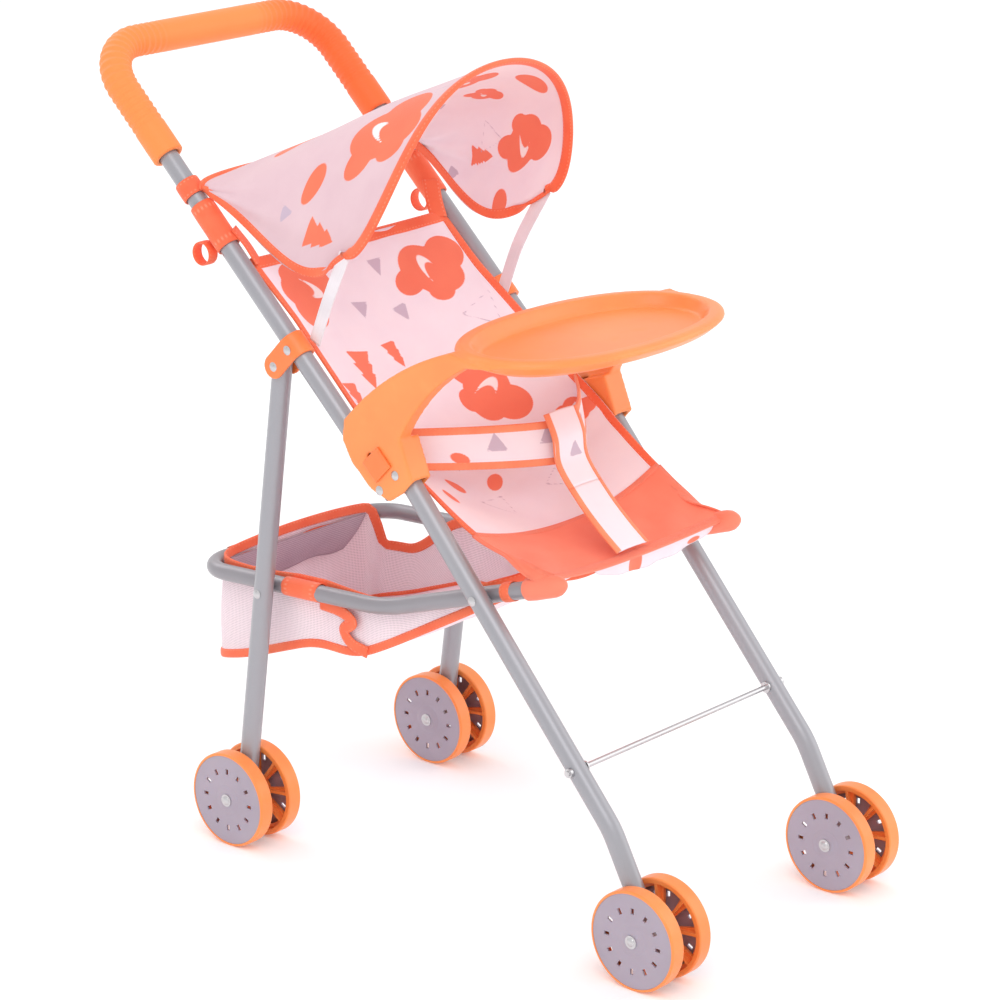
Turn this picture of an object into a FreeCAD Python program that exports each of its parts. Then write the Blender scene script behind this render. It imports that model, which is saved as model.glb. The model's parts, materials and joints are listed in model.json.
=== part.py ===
import FreeCAD, Part
import math
import os

# Doll stroller. Millimetres, +Z up, front towards -Y, left and right along X.
# The origin lies on the floor under the middle of the overall box.

V = FreeCAD.Vector
X_AXIS = V(1, 0, 0)
SIDES = {"left": -1, "right": 1}

# ---- driving dimensions ----
track_half = 107.0          # legs and handle tubes stand this far from the middle
tube_r = 7.0
tube_wall = 0.8
rail_r = 6.0
wheel_r = 35.0
wheel_width = 11.5
wheel_gap = 8.5             # leg centre line to the inner face of a wheel
front_axle_y = -242.0
rear_axle_y = 133.0
axle_r = 2.0
rivet_r = 2.0
fit_clearance = 0.05        # shaft in hole, radial
side_clearance = 0.3        # between pieces that only lie side by side
seat_gap = 0.1              # between a collar, washer or slot and the face it lies on
rivet_head_r = 3.4
rivet_head = 1.3
axle_head_r = 3.2
axle_head = 1.5
washer_r = 4.6
washer_thickness = 0.7

front_leg_slope = 41.0      # degrees from upright
front_bend_z = 98.8
front_bend_r = 70.0
tray_rivet = V(0, -25.8, 308.8)
leg_above_rivet = 9.0
leg_below_axle = 6.0
tube_end = 6.5              # tube beyond its end pivot

handle_slope = 46.0         # degrees from upright
handle_foot = V(0, -11.5, 295.4)
handle_length = 384.3       # pivot to the middle of the cross bar
handle_bend_r = 38.0
grip_r = 11.5
grip_start = 286.6          # along the tube from its pivot
clamp_at = 119.0            # along the tube from its pivot
clamp_reach = 19.5          # tube centre line to the rear leg pivot
clamp_width = 17.0
clamp_wall = 2.6

rail_pivot_drop = 100.0     # tray rivet to rail pivot along the front leg
rear_rivet_z = 193.1
rail_back_y = 190.0
rail_knee_y = 8.0
rail_bend_r = 28.0
rail_knee_r = 150.0
rail_front_reach = 62.0     # rail pivot to the rail's front end
rod_r = 1.9
rod_rise = 46.0             # front bend to cross rod along the leg
rod_end = 4.0               # rod beyond the legs' outer faces
rod_collar_r = 4.0
rod_collar = 1.2
rod_nut_r = 3.2
rod_nut = 2.4

rim_round = 1.2
web_thickness = 2.4
hub_r = 6.0
hub_proud = 0.9             # hub beyond the wheel's inner face
spoke_count = 8
spoke_angle = 14.0          # degrees of web left between two windows
window_inner = 9.5
window_outer = 28.0
disc_r = 33.0
disc_thickness = 1.4
disc_boss_r = 11.0
disc_boss_top_r = 7.5
disc_boss = 0.9
disc_sunk = 0.3             # disc below the rim's outer face
disc_hole_ring = 21.5
disc_hole_count = 12
disc_hole = V(6.0, 2.6, 4.2)

tray_half_width = 115.0
tray_half_depth = 65.0
tray_middle_y = -100.0
tray_top_z = 403.0
tray_height = 15.0
tray_recess = 9.0
tray_lip = 10.0
tray_squareness = 2.2
cheek_gap = 0.25            # tube to the cheeks on each side of it
cheek_wall = 3.0
inner_cheek_wall = 2.4
arm_thickness = 12.0
catch_travel = 8.0
catch_at = 13.5             # middle of the catch's shank, along the handle tube
catch_between = 9.8         # and its offset from the tube's centre line
catch_half = 2.0            # half the side of the shank
catch_slot_half = 2.3
catch_head_half = 3.4
catch_plate = 2.0

cloth = 1.6
strap_cloth = 1.2
seat_half_width = 94.0
seat_top_half_width = track_half - tube_r - 0.5
seat_base_half_width = 85.0
seat_top_at = 191.0         # along the handle tube from its pivot
seat_back_end_at = 32.0
seat_sag = 14.0
seat_front_y = -142.0
seat_front_z = 250.0
waist_end_y = -16.0
waist_low_z = 306.0
waist_width = 25.0
waist_forward = 58.0        # middle of the waist strap ahead of its ends
crotch_half_width = 17.0

canopy_at = 252.0           # rear edge, along the handle tube from its pivot
canopy_lift = 10.0          # rear edge off the tube's centre line
canopy_half_width = 106.0
canopy_height = 130.0       # bow corner to bow top
canopy_squareness = 2.6
bow_corner = V(0, 56.0, 442.0)
bow_lean = 72.0
bow_r = 1.5
tie_width = 7.0
wrap_at = 224.0             # middle of the cloth wrap, along the handle tube
wrap_length = 30.0
loop_r = 8.5
loop_width = 8.0

basket_depth = 70.0
basket_front_depth = 6.0
basket_wall = 1.6

# ---- points worked out from them ----
leg_dir = V(0, -math.sin(math.radians(front_leg_slope)), -math.cos(math.radians(front_leg_slope)))
handle_dir = V(0, math.sin(math.radians(handle_slope)), math.cos(math.radians(handle_slope)))
handle_front = V(0, -handle_dir.z, handle_dir.y)
leg_pivot = handle_foot + handle_dir * clamp_at - handle_front * clamp_reach
front_bend = tray_rivet + leg_dir * ((tray_rivet.z - front_bend_z) / -leg_dir.z)
front_axle = V(0, front_axle_y, wheel_r)
rear_axle = V(0, rear_axle_y, wheel_r)
rail_pivot = tray_rivet + leg_dir * rail_pivot_drop
rear_leg_dir = (rear_axle - leg_pivot).normalize()
leg_front = V(0, leg_dir.z, -leg_dir.y)
rear_rivet = leg_pivot + rear_leg_dir * ((leg_pivot.z - rear_rivet_z) / -rear_leg_dir.z)
rail_x = track_half - tube_r - side_clearance - rail_r
rail_knee = V(0, rail_knee_y, rear_rivet.z + 8.0)
rail_back = V(0, rail_back_y, rear_rivet.z - 1.5)
rail_front_dir = (rail_pivot - rail_knee).normalize()
rail_front = rail_pivot + rail_front_dir * rail_front_reach
rod_point = front_bend - leg_dir * rod_rise
disc_face = wheel_gap + wheel_width - disc_sunk + disc_boss
cheek_inside = track_half + tube_r + cheek_gap
cheek_outside = cheek_inside + cheek_wall


def at_x(point, x):
    return V(x, point.y, point.z)


def bent_path(points, radii):
    """Straight runs joined by tangent arcs, with one radius for each corner."""
    edges = []
    start = points[0]
    for before, corner, after, radius in zip(points, points[1:], points[2:], radii):
        back = (before - corner).normalize()
        ahead = (after - corner).normalize()
        half = back.getAngle(ahead) / 2
        cut = radius / math.tan(half)
        middle = corner + (back + ahead).normalize() * (radius / math.sin(half) - radius)
        edges.append(Part.LineSegment(start, corner + back * cut).toShape())
        edges.append(Part.Arc(corner + back * cut, middle, corner + ahead * cut).toShape())
        start = corner + ahead * cut
    edges.append(Part.LineSegment(start, points[-1]).toShape())
    return Part.Wire(edges)


def rod_along(path, radius):
    """A round bar swept along a path."""
    first = path.Edges[0]
    ring = Part.Circle(first.valueAt(first.FirstParameter), first.tangentAt(first.FirstParameter), radius)
    return path.makePipeShell([Part.Wire(ring.toShape())], True, True)


def tube_along(path, radius, wall):
    return rod_along(path, radius).cut(rod_along(path, radius - wall))


def bar(start, end, radius):
    span = end - start
    return Part.makeCylinder(radius, span.Length, start, span)


def cross_hole(point, x, radius):
    """A cutter through everything near a tube, along X."""
    reach = 4 * tube_r
    return Part.makeCylinder(radius + fit_clearance, 2 * reach, at_x(point, x - reach), X_AXIS)


def dome(point, x, direction, radius, height):
    """A rivet head: a low dome standing along X from a flat foot."""
    ball_r = (radius * radius + height * height) / (2 * height)
    ball = Part.makeSphere(ball_r, at_x(point, x + direction * (height - ball_r)))
    foot = Part.makeCylinder(radius + 1, 2 * ball_r, at_x(point, x), X_AXIS * direction)
    return ball.common(foot)


def rivet(point, x_low, x_high, radius, head_r, head_height):
    """A shank along X with a domed head outside each end."""
    shank = Part.makeCylinder(radius, x_high - x_low, at_x(point, x_low), X_AXIS)
    low = dome(point, x_low, -1, head_r, head_height)
    high = dome(point, x_high, 1, head_r, head_height)
    return shank.fuse([low, high]).removeSplitter()


def outline_plate(points, x, thickness):
    """A flat plate with a straight-sided outline, given by its Y and Z, lying square to X."""
    corners = [at_x(p, x) for p in points]
    face = Part.Face(Part.makePolygon(corners + [corners[0]]))
    return face.extrude(X_AXIS * thickness)


def along_handle(distance, offset=0.0):
    """A point by its distance up the handle tube and its offset towards the seat side."""
    return handle_foot + handle_dir * distance + handle_front * offset


def mirrored(shape):
    return shape.mirror(V(0, 0, 0), X_AXIS)


def sheet_solid(high_rows, low_rows):
    """A closed sheet between two smooth surfaces, each through its own grid of points."""
    faces = []
    for rows in (high_rows, low_rows):
        surface = Part.BSplineSurface()
        surface.interpolate(rows)
        faces.append(surface.toShape())
    for edge_a, edge_b in zip(faces[0].Edges, faces[1].Edges):
        faces.append(Part.makeRuledSurface(edge_a, edge_b))
    shell = Part.Shell(faces)
    shell.sewShape()
    solid = Part.Solid(shell)
    return solid if solid.Volume > 0 else solid.reversed()


def save(name, shape):
    shape.exportStep("parts/" + name + ".step")


def group(shapes):
    return Part.makeCompound(shapes)


# ---- frame tubes ----
def front_leg():
    foot = front_axle + (front_axle - front_bend).normalize() * leg_below_axle
    path = bent_path([tray_rivet - leg_dir * leg_above_rivet, front_bend, foot], [front_bend_r])
    leg = tube_along(path, tube_r, tube_wall)
    holes = [cross_hole(tray_rivet, 0, rivet_r), cross_hole(rail_pivot, 0, rivet_r)]
    holes += [cross_hole(front_axle, 0, axle_r), cross_hole(rod_point, 0, rod_r)]
    return leg.cut(holes)


def rear_leg():
    head = leg_pivot - rear_leg_dir * tube_end
    foot = rear_axle + rear_leg_dir * leg_below_axle
    leg = bar(head, foot, tube_r)
    leg = leg.cut(bar(head - rear_leg_dir, foot + rear_leg_dir, tube_r - tube_wall))
    return leg.cut([cross_hole(leg_pivot, 0, rivet_r), cross_hole(rear_rivet, 0, rivet_r),
                    cross_hole(rear_axle, 0, axle_r)])


def handle_path(foot):
    """Up the left side from its foot, across the top and down the right side."""
    top = along_handle(handle_length)
    left = [at_x(foot, -track_half), at_x(top, -track_half)]
    right = [at_x(top, track_half), at_x(foot, track_half)]
    return bent_path(left + right, [handle_bend_r] * 2)


def push_handle():
    foot = along_handle(-tube_end)
    tube = tube_along(handle_path(foot), tube_r, tube_wall)
    cuts = []
    for side in SIDES.values():
        cuts.append(cross_hole(handle_foot, side * track_half, rivet_r))
        cuts.append(cross_hole(along_handle(clamp_at), side * track_half, rivet_r))
    return tube.cut(cuts)


def handle_grip():
    path = handle_path(along_handle(grip_start))
    return rod_along(path, grip_r).cut(rod_along(path, tube_r + fit_clearance))


def cross_rod():
    """A thin tie rod through both front legs, with a collar inside and a nut outside each."""
    reach = track_half + tube_r
    end = reach + rod_end
    rod = Part.makeCylinder(rod_r, 2 * end, at_x(rod_point, -end), X_AXIS)
    collars = []
    for side in SIDES.values():
        inner = at_x(rod_point, side * (track_half - tube_r - seat_gap))
        outer = at_x(rod_point, side * (reach + seat_gap))
        collars.append(Part.makeCylinder(rod_collar_r, rod_collar, inner, X_AXIS * -side))
        collars.append(Part.makeCylinder(rod_nut_r, rod_nut, outer, X_AXIS * side))
    return rod.fuse(collars).removeSplitter()


# ---- upper brackets, which carry the rear legs ----
def upper_bracket():
    """A strap round the handle tube whose two ears reach back to the rear leg's pivot."""
    seat = along_handle(clamp_at)
    outer_r = tube_r + clamp_wall
    half = clamp_width / 2
    round_part = bar(seat - handle_dir * half, seat + handle_dir * half, outer_r)
    ear = outline_plate([seat - handle_dir * half, seat + handle_dir * half,
                         leg_pivot + handle_dir * half, leg_pivot - handle_dir * half],
                        -outer_r, 2 * outer_r)
    tip = Part.makeCylinder(half, 2 * outer_r, at_x(leg_pivot, -outer_r), X_AXIS)
    body = round_part.fuse([ear, tip]).removeSplitter()
    bore = bar(seat - handle_dir * clamp_width, seat + handle_dir * clamp_width, tube_r + fit_clearance)
    slot_end = leg_pivot - handle_front * clamp_width
    slot = outline_plate([seat - handle_dir * clamp_width, seat + handle_dir * clamp_width,
                          slot_end + handle_dir * clamp_width, slot_end - handle_dir * clamp_width],
                         -tube_r - seat_gap, 2 * (tube_r + seat_gap))
    return body.cut([bore, slot, cross_hole(seat, 0, rivet_r), cross_hole(leg_pivot, 0, rivet_r)])


# ---- basket rail ----
def rail_path():
    points = [at_x(rail_front, -rail_x), at_x(rail_knee, -rail_x), at_x(rail_back, -rail_x),
              at_x(rail_back, rail_x), at_x(rail_knee, rail_x), at_x(rail_front, rail_x)]
    return bent_path(points, [rail_knee_r, rail_bend_r, rail_bend_r, rail_knee_r])


def basket_rail():
    rail = tube_along(rail_path(), rail_r, tube_wall)
    return rail.cut([cross_hole(rail_pivot, side * rail_x, rivet_r) for side in SIDES.values()])


# ---- wheels ----
def wheel():
    """Rim, web and hub, standing along +X from its inner face at x = 0."""
    rim = Part.makeCylinder(wheel_r, wheel_width, V(0, 0, 0), X_AXIS)
    rim = rim.makeFillet(rim_round, [e for e in rim.Edges if len(e.Vertexes) == 1])
    inner_r = disc_r - 1.8
    recess_x = wheel_width - disc_thickness - disc_sunk - seat_gap
    inner = Part.makeCylinder(inner_r, wheel_width + 2, V(-1, 0, 0), X_AXIS)
    recess = Part.makeCylinder(disc_r + seat_gap, wheel_width, V(recess_x, 0, 0), X_AXIS)
    rim = rim.cut([inner, recess])
    web_x = (wheel_width - web_thickness) / 2
    web = Part.makeCylinder(inner_r + 0.8, web_thickness, V(web_x, 0, 0), X_AXIS)
    hub = Part.makeCylinder(hub_r, recess_x - seat_gap + hub_proud, V(-hub_proud, 0, 0), X_AXIS)
    windows = []
    ribs = []
    step = 360.0 / spoke_count
    for index in range(spoke_count):
        opening = step - spoke_angle
        wedge = Part.makeCylinder(window_outer, 2 * web_thickness, V(web_x - 1, 0, 0), X_AXIS, opening)
        wedge = wedge.cut(Part.makeCylinder(window_inner, 3 * web_thickness, V(web_x - 2, 0, 0), X_AXIS))
        wedge.rotate(V(0, 0, 0), X_AXIS, index * step)
        windows.append(wedge)
        rib = Part.makeBox(web_x, 2.0, disc_r - hub_r, V(0.4, -1.0, hub_r - 1.0))
        rib.rotate(V(0, 0, 0), X_AXIS, index * step - spoke_angle / 2)
        ribs.append(rib)
    body = rim.fuse([web.cut(windows), hub] + ribs).removeSplitter()
    return body.cut(Part.makeCylinder(axle_r + fit_clearance, 2 * wheel_width, V(-3, 0, 0), X_AXIS))


def wheel_disc():
    """The cover let into the rim's outer face, with a ring of small windows and a raised middle."""
    back = wheel_width - disc_thickness - disc_sunk
    plate = Part.makeCylinder(disc_r, disc_thickness, V(back, 0, 0), X_AXIS)
    middle = Part.makeCone(disc_boss_r, disc_boss_top_r, disc_boss, V(back + disc_thickness, 0, 0), X_AXIS)
    holes = []
    for index in range(disc_hole_count):
        corner = V(back - 1, -disc_hole.y / 2, disc_hole_ring - disc_hole.z / 2)
        hole = Part.makeBox(disc_hole.x, disc_hole.y, disc_hole.z, corner)
        hole.rotate(V(0, 0, 0), X_AXIS, index * 360.0 / disc_hole_count)
        holes.append(hole)
    bore = Part.makeCylinder(axle_r + fit_clearance, wheel_width, V(back - 2, 0, 0), X_AXIS)
    return plate.fuse(middle).cut(holes + [bore])


def place_wheel(shape, side, outer, axle):
    """Sets a wheel piece on its axle, covers facing away from the leg."""
    facing = 1 if outer else -1
    copy = shape.copy()
    if facing * side < 0:
        copy = mirrored(copy)
    copy.translate(at_x(axle, side * track_half + facing * side * wheel_gap))
    return copy


def axle_pin(axle, side):
    reach = disc_face + washer_thickness + seat_gap
    middle = side * track_half
    return rivet(axle, middle - reach, middle + reach, axle_r, axle_head_r, axle_head)


def axle_washers(axle):
    washers = []
    for side in SIDES.values():
        for facing in (-1, 1):
            start = at_x(axle, side * track_half + facing * (disc_face + seat_gap / 2))
            ring = Part.makeCylinder(washer_r, washer_thickness, start, X_AXIS * facing)
            washers.append(ring.cut(Part.makeCylinder(axle_r + seat_gap / 5, 4, start - X_AXIS * 2, X_AXIS)))
    return washers


# ---- tray with its arms and side cheeks ----
def oblong(scale_x, scale_y, z):
    """A closed curve whose edge follows |x/a|^n + |y/b|^n = 1 round the middle of the tray."""
    points = []
    count = 32
    for index in range(count):
        angle = 2 * math.pi * (index + 0.5) / count
        c = math.cos(angle)
        s = math.sin(angle)
        x = math.copysign(abs(c) ** (2 / tray_squareness), c) * scale_x
        y = math.copysign(abs(s) ** (2 / tray_squareness), s) * scale_y
        points.append(V(x, tray_middle_y + y, z))
    curve = Part.BSplineCurve()
    curve.interpolate(points, True)
    return Part.Wire(curve.toShape())


def tray_ring(inset, z):
    return oblong(tray_half_width - inset, tray_half_depth - inset, z)


def tray_dish():
    low_z = tray_top_z - tray_height
    widest = tray_ring(0, tray_top_z - 4)
    outer = Part.makeLoft([tray_ring(20, low_z), tray_ring(7, low_z + 5), widest], True, True)
    rim = Part.makeLoft([widest, tray_ring(1.2, tray_top_z - 1.2), tray_ring(4, tray_top_z)], True, True)
    hollow = Part.makeLoft([tray_ring(tray_lip + 7, tray_top_z - tray_recess),
                            tray_ring(tray_lip, tray_top_z + 1)], True, True)
    return outer.fuse(rim).cut(hollow)


def arm_outline():
    """The arm in side view, from the cheeks up to the dish: straight runs and arcs."""
    rear_top = along_handle(54.0, 8.0)
    rear_low = along_handle(31.0, 8.0)
    front_low = tray_rivet + V(0, -4.2, 26.2)
    under = V(0, tray_middle_y + 12.0, tray_top_z - 9.0)
    tip = V(0, tray_middle_y - 14.0, tray_top_z - 6.0)
    crest = V(0, tray_middle_y + 26.0, tray_top_z - 1.0)
    below = V(0, front_low.y - 24.0, front_low.z + 33.0)
    above = V(0, rear_top.y - 44.0, rear_top.z + 38.0)
    edges = [Part.Arc(front_low, below, under).toShape(), Part.LineSegment(under, tip).toShape(),
             Part.LineSegment(tip, crest).toShape(), Part.Arc(crest, above, rear_top).toShape(),
             Part.LineSegment(rear_top, rear_low).toShape(), Part.LineSegment(rear_low, front_low).toShape()]
    return Part.Wire(edges)


def cheek_outline():
    """The outer cheek in side view, round the foot of the handle tube and the head of the front leg."""
    return [tray_rivet + V(0, -4.2, 26.2), tray_rivet + V(0, -15.5, -2.0), tray_rivet + V(0, -6.0, -12.0),
            handle_foot + V(0, -8.5, -6.5), handle_foot + V(0, 8.0, -1.0), handle_foot + V(0, 26.0, 15.0),
            handle_foot + V(0, 34.0, 29.0), handle_foot + V(0, 33.0, 49.0), along_handle(54.0, 8.0)]


def inner_cheek_outline():
    return [tray_rivet + V(0, -4.2, 26.2), tray_rivet + V(0, -15.5, -2.0), tray_rivet + V(0, -6.0, -12.0),
            handle_foot + V(0, -8.5, -6.5), handle_foot + V(0, 8.0, -1.0), along_handle(16.0, -6.0),
            along_handle(22.0, 8.0)]


def web_outline():
    """The block in front of the leg's head that joins the two cheeks."""
    beside = tray_rivet + leg_front * (tube_r + 0.6)
    return [tray_rivet + V(0, -4.2, 26.2), tray_rivet + V(0, -15.5, -2.0), beside + leg_dir * 9.5,
            beside - leg_dir * 11.0, along_handle(24.0, 22.0)]


def catch_outline(low, high, near, far):
    corners = ((low, near), (high, near), (high, far), (low, far))
    return [along_handle(distance, offset) for distance, offset in corners]


def tray():
    low_x = track_half - tube_r - cheek_gap - inner_cheek_wall
    arm = Part.Face(arm_outline()).extrude(X_AXIS * arm_thickness)
    arm.translate(V(cheek_outside - arm_thickness, 0, 0))
    outer = outline_plate(cheek_outline(), cheek_inside, cheek_wall)
    inner = outline_plate(inner_cheek_outline(), low_x, inner_cheek_wall)
    web = outline_plate(web_outline(), low_x, cheek_outside - low_x)
    slot = outline_plate(catch_outline(catch_at - catch_slot_half, catch_at + catch_slot_half + catch_travel,
                                       catch_between - catch_slot_half, catch_between + catch_slot_half),
                         cheek_inside - 1, cheek_wall + 2)
    holes = [cross_hole(point, track_half, rivet_r) for point in (tray_rivet, handle_foot)]
    side = arm.fuse([outer, inner, web]).removeSplitter().cut([slot] + holes)
    return tray_dish().fuse([side, mirrored(side)]).removeSplitter()


def square_outline(half):
    return catch_outline(catch_at - half, catch_at + half, catch_between - half, catch_between + half)


def fold_catch():
    """A slide on the outer cheek, with a shank through its slot and a head between the two tubes."""
    plate_x = cheek_outside + side_clearance
    plate = outline_plate(catch_outline(5.0, 22.0, 3.0, 22.0), plate_x, catch_plate)
    face_x = plate_x + catch_plate
    plate = plate.makeChamfer(0.6, [e for e in plate.Edges if e.CenterOfMass.x > face_x - seat_gap])
    shank = outline_plate(square_outline(catch_half), cheek_inside - 1.0, cheek_wall + 2.0)
    head_x = cheek_inside - side_clearance - catch_plate
    head = outline_plate(square_outline(catch_head_half), head_x, catch_plate)
    return plate.fuse([shank, head]).removeSplitter()


# ---- cloth ----
def seat_back():
    """The back of the sling between the handle tubes, sagging towards its middle and its foot."""
    rows = []
    for i in range(9):
        t = i / 8
        distance = seat_top_at + (seat_back_end_at - seat_top_at) * t
        widening = min(1.0, max(0.0, (distance - 142.0) / 24.0))
        half_width = seat_half_width + (seat_top_half_width - seat_half_width) * widening
        row = []
        for j in range(9):
            u = -1 + j / 4
            sag = seat_sag * (1 - u * u) * math.sin(math.pi * (0.06 + 0.5 * t))
            row.append(at_x(along_handle(distance, -sag), u * half_width))
        rows.append(row)
    return sheet_solid(rows, shifted(rows, handle_front * -cloth))


def seat_fold():
    """The cloth round the hinge, from the foot of the back to the start of the base."""
    top_at = seat_back_end_at - 1.0
    return sling_piece([(along_handle(top_at), along_handle(top_at, -seat_sag)),
                        (along_handle(8.0, 8.0), along_handle(10.0, -9.0)),
                        (V(0, -36.4, 291.1), V(0, -33.4, 278.1))], seat_base_half_width)


def seat_base():
    """The front of the sling, from behind the front legs to its front edge."""
    front = V(0, seat_front_y, seat_front_z)
    return sling_piece([(V(0, -37.0, 291.0), V(0, -34.0, 278.0)),
                        (V(0, -74.0, 273.0), V(0, -74.0, 263.0)),
                        (front + V(0, 30.0, 9.0), front + V(0, 34.0, 1.0)),
                        (front + V(0, 0, 4.0), front + V(0, 12.0, -3.0))],
                       seat_base_half_width)


def sling_piece(profile, half_width):
    """Cloth through pairs of points: each pair gives the height of its edge and of its middle."""
    rows = []
    for edge, middle in profile:
        row = []
        for j in range(9):
            u = -1 + j / 4
            row.append(at_x(edge * (u * u) + middle * (1 - u * u), u * half_width))
        rows.append(row)
    return sheet_solid(rows, shifted(rows, V(0, 0, -cloth)))


def hood(turn, along, inset):
    """A point of the hood: turn runs from one low corner to the other, along from rear edge to bow."""
    c = math.cos(turn)
    x = -math.copysign(abs(c) ** (2 / canopy_squareness), c) * (canopy_half_width - inset)
    rise = math.sin(turn) ** (2 / canopy_squareness)
    rear = along_handle(canopy_at, canopy_lift)
    rear_z = rear.z + (8.0 - inset) * rise
    bow_z = bow_corner.z + (canopy_height - inset) * rise
    bow_y = bow_corner.y - bow_lean * math.sqrt(rise)
    return V(x, rear.y + (bow_y - rear.y) * along, rear_z + (bow_z - rear_z) * along)


def hood_rows(inset):
    stop = 0.975
    return [[hood(math.pi * j / 16, stop * i / 6, inset) for j in range(17)] for i in range(7)]


def canopy_cover():
    return sheet_solid(hood_rows(0.0), hood_rows(cloth))


def canopy_bow():
    """The spring wire in the hood's front hem."""
    curve = Part.BSplineCurve()
    curve.interpolate([hood(math.pi * j / 24, 1.0, 0.0) for j in range(25)])
    path = Part.Wire(curve.toShape())
    return rod_along(path, bow_r)


def canopy_tie():
    """A flat tie from the bow's low corner down to the handle tube."""
    beside_bow = canopy_half_width - bow_r - strap_cloth - 2 * side_clearance
    high = V(beside_bow, bow_corner.y - 6.0, bow_corner.z + 3.0)
    low = at_x(along_handle(clamp_at + 14.0, tube_r + 1.2), track_half)
    return strip(high, low, V(0, 1, 0.3), tie_width)


def strip(start, end, across, width):
    """A flat strip of strap cloth between two points."""
    span = (end - start).normalize()
    wide = (across - span * across.dot(span)).normalize() * (width / 2)
    thin = span.cross(wide).normalize() * strap_cloth
    corners = [start - wide, start + wide, end + wide, end - wide]
    return Part.Face(Part.makePolygon(corners + [corners[0]])).extrude(thin)


def handle_wrap():
    """Cloth wrapped round the handle tube at the top corner of the seat."""
    low = along_handle(wrap_at - wrap_length / 2)
    high = along_handle(wrap_at + wrap_length / 2)
    return sleeve(low, high, tube_r)


def sleeve(low, high, radius):
    outer = bar(low, high, radius + side_clearance + strap_cloth)
    return outer.cut(bar(low, high, radius + side_clearance))


def pull_loop():
    """The loop of strap behind the wrap, standing on it."""
    reach = tube_r + side_clearance + strap_cloth + side_clearance + loop_r
    middle = at_x(along_handle(wrap_at - 8.0, -reach), 5.0 - loop_width / 2)
    ring = Part.makeCylinder(loop_r, loop_width, middle, X_AXIS)
    return ring.cut(Part.makeCylinder(loop_r - strap_cloth, loop_width, middle, X_AXIS))


def waist_strap():
    """A strap across the sling, drawn forward in its middle by the crotch strap."""
    rows = []
    for z_part in (0.0, 0.5, 1.0):
        row = []
        for j in range(17):
            u = -1 + j / 8
            forward = waist_forward * (1 - abs(u) ** 1.4)
            z = waist_low_z + waist_width * z_part
            row.append(V(u * (seat_half_width - 1.5), waist_end_y - forward, z))
        rows.append(row)
    return sheet_solid(rows, shifted(rows, V(0, -strap_cloth, 0)))


def crotch_strap():
    """The strap from the middle of the waist strap down to the seat's front edge."""
    top = V(0, waist_end_y - waist_forward - strap_cloth - side_clearance, waist_low_z + waist_width)
    points = [top, top + V(0, -15.0, -24.0), V(0, seat_front_y + 32.0, seat_front_z + 26.0),
              V(0, seat_front_y + 14.0, seat_front_z - 2.0)]
    rows = [[at_x(p, u * crotch_half_width) for u in (-1.0, -0.33, 0.33, 1.0)] for p in points]
    return sheet_solid(rows, shifted(rows, V(0, -strap_cloth, 0)))


def shifted(rows, vector):
    return [[p + vector for p in row] for row in rows]


def basket():
    """An open bag inside the rail: deep at the back, shallow at the front."""
    half = rail_x - rail_r - side_clearance - 0.6
    back_y = rail_back_y - rail_r - 1.0
    stations = [(back_y, rear_rivet.z, basket_depth, 12.0), (40.0, rail_knee.z - 6.0, 48.0, 8.0),
                (rail_pivot.y + 14.0, rail_pivot.z - 8.0, basket_front_depth, 2.0)]

    def shell(inset, extra_top, lift):
        wires = []
        for y, top, depth, tuck in stations:
            y_in = y - inset if y == back_y else y + (inset if y < 0 else 0)
            wide = half - inset
            rim_z = top + extra_top
            floor_z = top - depth + lift
            corners = [V(-wide, y_in, rim_z), V(tuck - wide, y_in, floor_z),
                       V(wide - tuck, y_in, floor_z), V(wide, y_in, rim_z)]
            wires.append(Part.makePolygon(corners + [corners[0]]))
        solid = Part.makeLoft(wires, True, True)
        corners = [e for e in solid.Edges if all(abs(v.Y - back_y) < 2 * basket_wall for v in e.Vertexes)
                   and abs(e.Vertexes[0].Z - e.Vertexes[1].Z) > 20]
        return solid.makeFillet(rail_bend_r - rail_r - inset, corners)

    return shell(0.0, 0.0, 0.0).cut(shell(basket_wall, 2.0, basket_wall))


def rail_sleeve(start, end):
    """A strap wrapped round the rail, left out where the legs pass close by."""
    beside_leg = Part.makeBox(10, 400, 400, V(rail_r + side_clearance / 2, -200, 0))
    return sleeve(start, end, rail_r).cut(beside_leg)


def corner_pocket():
    """The hem pocket of the seat's front corner, pulled over the rail's front end."""
    tip = rail_front + rail_front_dir * 2.0
    root = rail_front - rail_front_dir * 26.0
    outer = bar(root, tip, rail_r + side_clearance + cloth)
    return outer.cut(bar(root - rail_front_dir, rail_front + rail_front_dir * 0.3, rail_r + side_clearance))


# ---- rivets ----
def side_rivets(point, inner, outer):
    """One rivet each side, from its inner to its outer reach off the leg's centre line."""
    rivets = []
    for side in SIDES.values():
        ends = sorted((side * (track_half + inner), side * (track_half + outer)))
        rivets.append(rivet(point, ends[0], ends[1], rivet_r, rivet_head_r, rivet_head))
    return group(rivets)


def rear_rail_rivets():
    """Short rivets in the rear legs, headed outside only, ending beside the rail."""
    rivets = []
    for side in SIDES.values():
        start = side * (track_half - tube_r + fit_clearance)
        shank = Part.makeCylinder(rivet_r, 2 * tube_r, at_x(rear_rivet, start), X_AXIS * side)
        head = dome(rear_rivet, start + side * 2 * tube_r, side, rivet_head_r, rivet_head)
        rivets.append(shank.fuse(head))
    return group(rivets)


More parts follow.
